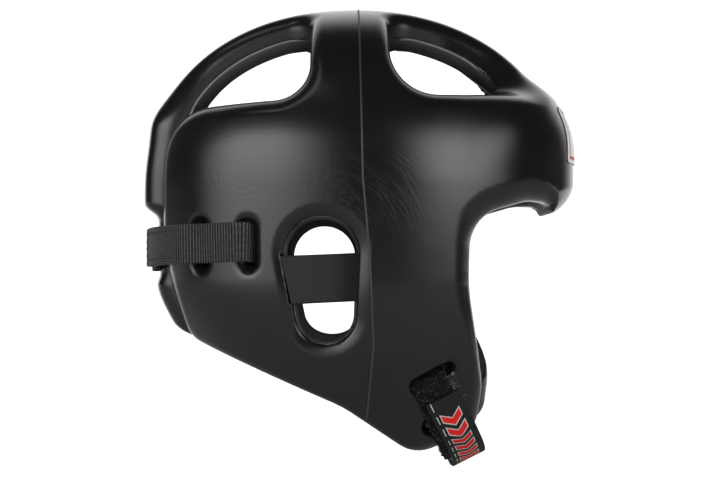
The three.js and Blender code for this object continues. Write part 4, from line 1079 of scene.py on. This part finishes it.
# Floor
# A plain white studio floor below the guard, which is held up at its crown. It glows behind the guard and
# where the camera sees it, as a lit sweep of paper does.
FLOOR_Z, FLOOR_HALF = -300, 6000
floor_paint, tree, shader = new_material("floor", Roughness=0.9, Base_Color=(0.4, 0.4, 0.4, 1))
shader.inputs["Emission Color"].default_value = (1, 1, 1, 1)
seen = node(tree, "ShaderNodeLightPath").outputs["Is Camera Ray"]
place = node(tree, "ShaderNodeSeparateXYZ", {0: node(tree, "ShaderNodeTexCoord").outputs["Object"]})
beyond = node(tree, "ShaderNodeMapRange", {"Value": place.outputs[1], "From Min": 0.3, "From Max": 1.3})
glow = reckon(tree, "MAXIMUM", seen, beyond.outputs[0])
tree.links.new(reckon(tree, "MULTIPLY_ADD", glow, 0.82, 0.18), shader.inputs["Emission Strength"])
corners = np.array([[-1.0, -1, 0], [1, -1, 0], [1, 1, 0], [-1, 1, 0]]) * FLOOR_HALF
floor = put_mesh("floor", corners + np.array([0, 0, FLOOR_Z]), np.array([[0, 1, 2, 3]]), floor_paint)

# Light and camera
# Two soft boxes and a soft strip on the camera's side, dark between them, and white paper behind the guard.
# The camera looks level from the guard's right, with a long lens that is shifted up and aside.
world = bpy.data.worlds.new("studio")
bpy.context.scene.world = world
world.use_nodes = True
tree = world.node_tree
direction = node(tree, "ShaderNodeSeparateXYZ", {0: node(tree, "ShaderNodeTexCoord").outputs["Generated"]})
backward = reckon(tree, "MULTIPLY_ADD", direction.outputs[2], 0.3, direction.outputs[1])
behind = node(tree, "ShaderNodeMapRange", {
    "Value": backward, "From Min": 0.72, "From Max": 0.94, "To Min": 0.05, "To Max": 1.4})
seen = node(tree, "ShaderNodeLightPath").outputs["Is Camera Ray"]
bright = reckon(tree, "MAXIMUM", behind.outputs[0], seen)
tree.links.new(bright, tree.nodes["Background"].inputs["Strength"])
tree.nodes["Background"].inputs["Color"].default_value = (1, 1, 1, 1)
LIGHT_AIM, LIGHT_FAR, LIGHT_SIDE_SOFT = np.array([0.0, -95, -88]), 1090, 0.45


def soft_box(name, bearing, rise, size, radiance, low_soft, top_soft, roll=0):
    """Area light of a size in millimetres at a bearing and a rise in degrees, turned to the guard and rolled.
    Its radiance, against white, fades smoothly towards each edge over a share of its size."""
    light = bpy.data.lights.new(name, "AREA")
    light.shape = "RECTANGLE"
    light.size, light.size_y = size[0] * MM, size[1] * MM
    light.energy = radiance * np.pi * light.size * light.size_y
    light.use_nodes = True
    tree = light.node_tree
    place = node(tree, "ShaderNodeNewGeometry").outputs["Parametric"]
    u, v, _ = node(tree, "ShaderNodeSeparateXYZ", {0: place}).outputs
    glow = 1.0
    edges = (u, 0, LIGHT_SIDE_SOFT), (u, 1, -LIGHT_SIDE_SOFT), (v, 0, low_soft), (v, 1, -top_soft)
    for place, edge, soft in edges:
        fade = node(tree, "ShaderNodeMapRange", {
            "Value": place, "From Min": edge, "From Max": edge + soft}, interpolation_type="SMOOTHSTEP")
        glow = reckon(tree, "MULTIPLY", fade.outputs[0], glow)
    tree.links.new(glow, tree.nodes["Emission"].inputs["Strength"])
    made = bpy.data.objects.new(name, light)
    turn, lift = np.radians(bearing), np.radians(rise)
    towards = np.array([np.sin(turn) * np.cos(lift), -np.cos(turn) * np.cos(lift), np.sin(lift)])
    made.location = (LIGHT_AIM + LIGHT_FAR * towards) * MM
    made.rotation_euler = Vector(-towards).to_track_quat("-Z", "Y").to_euler()
    made.rotation_euler.rotate_axis("Z", np.radians(roll))
    made.visible_camera = False
    bpy.context.scene.collection.objects.link(made)


soft_box("rear box", -47, -0.5, (2150, 1336), radiance=4.6, low_soft=0.92, top_soft=0.1, roll=7)
soft_box("rear strip", -52, 60, (1000, 330), radiance=1.6, low_soft=0.5, top_soft=0.5)
soft_box("front box", 45, 14, (1200, 1010), radiance=4.6, low_soft=0.45, top_soft=0.36)

# The shift of the lens, in pixels of a frame of this width
FRAME_WIDE, SHIFT_ASIDE, SHIFT_UP = 720, 15, 38
CAMERA_PLACE = np.array([-7.8, -1200, -144.9])
camera = bpy.data.objects.new("camera", bpy.data.cameras.new("camera"))
camera.location = CAMERA_PLACE * MM
camera.rotation_euler = (np.pi / 2, 0, 0)
camera.data.lens, camera.data.sensor_width = 100, 36
camera.data.shift_x, camera.data.shift_y = SHIFT_ASIDE / FRAME_WIDE, SHIFT_UP / FRAME_WIDE
bpy.context.scene.collection.objects.link(camera)
bpy.context.scene.camera = camera
bpy.context.scene.view_settings.view_transform = "Standard"
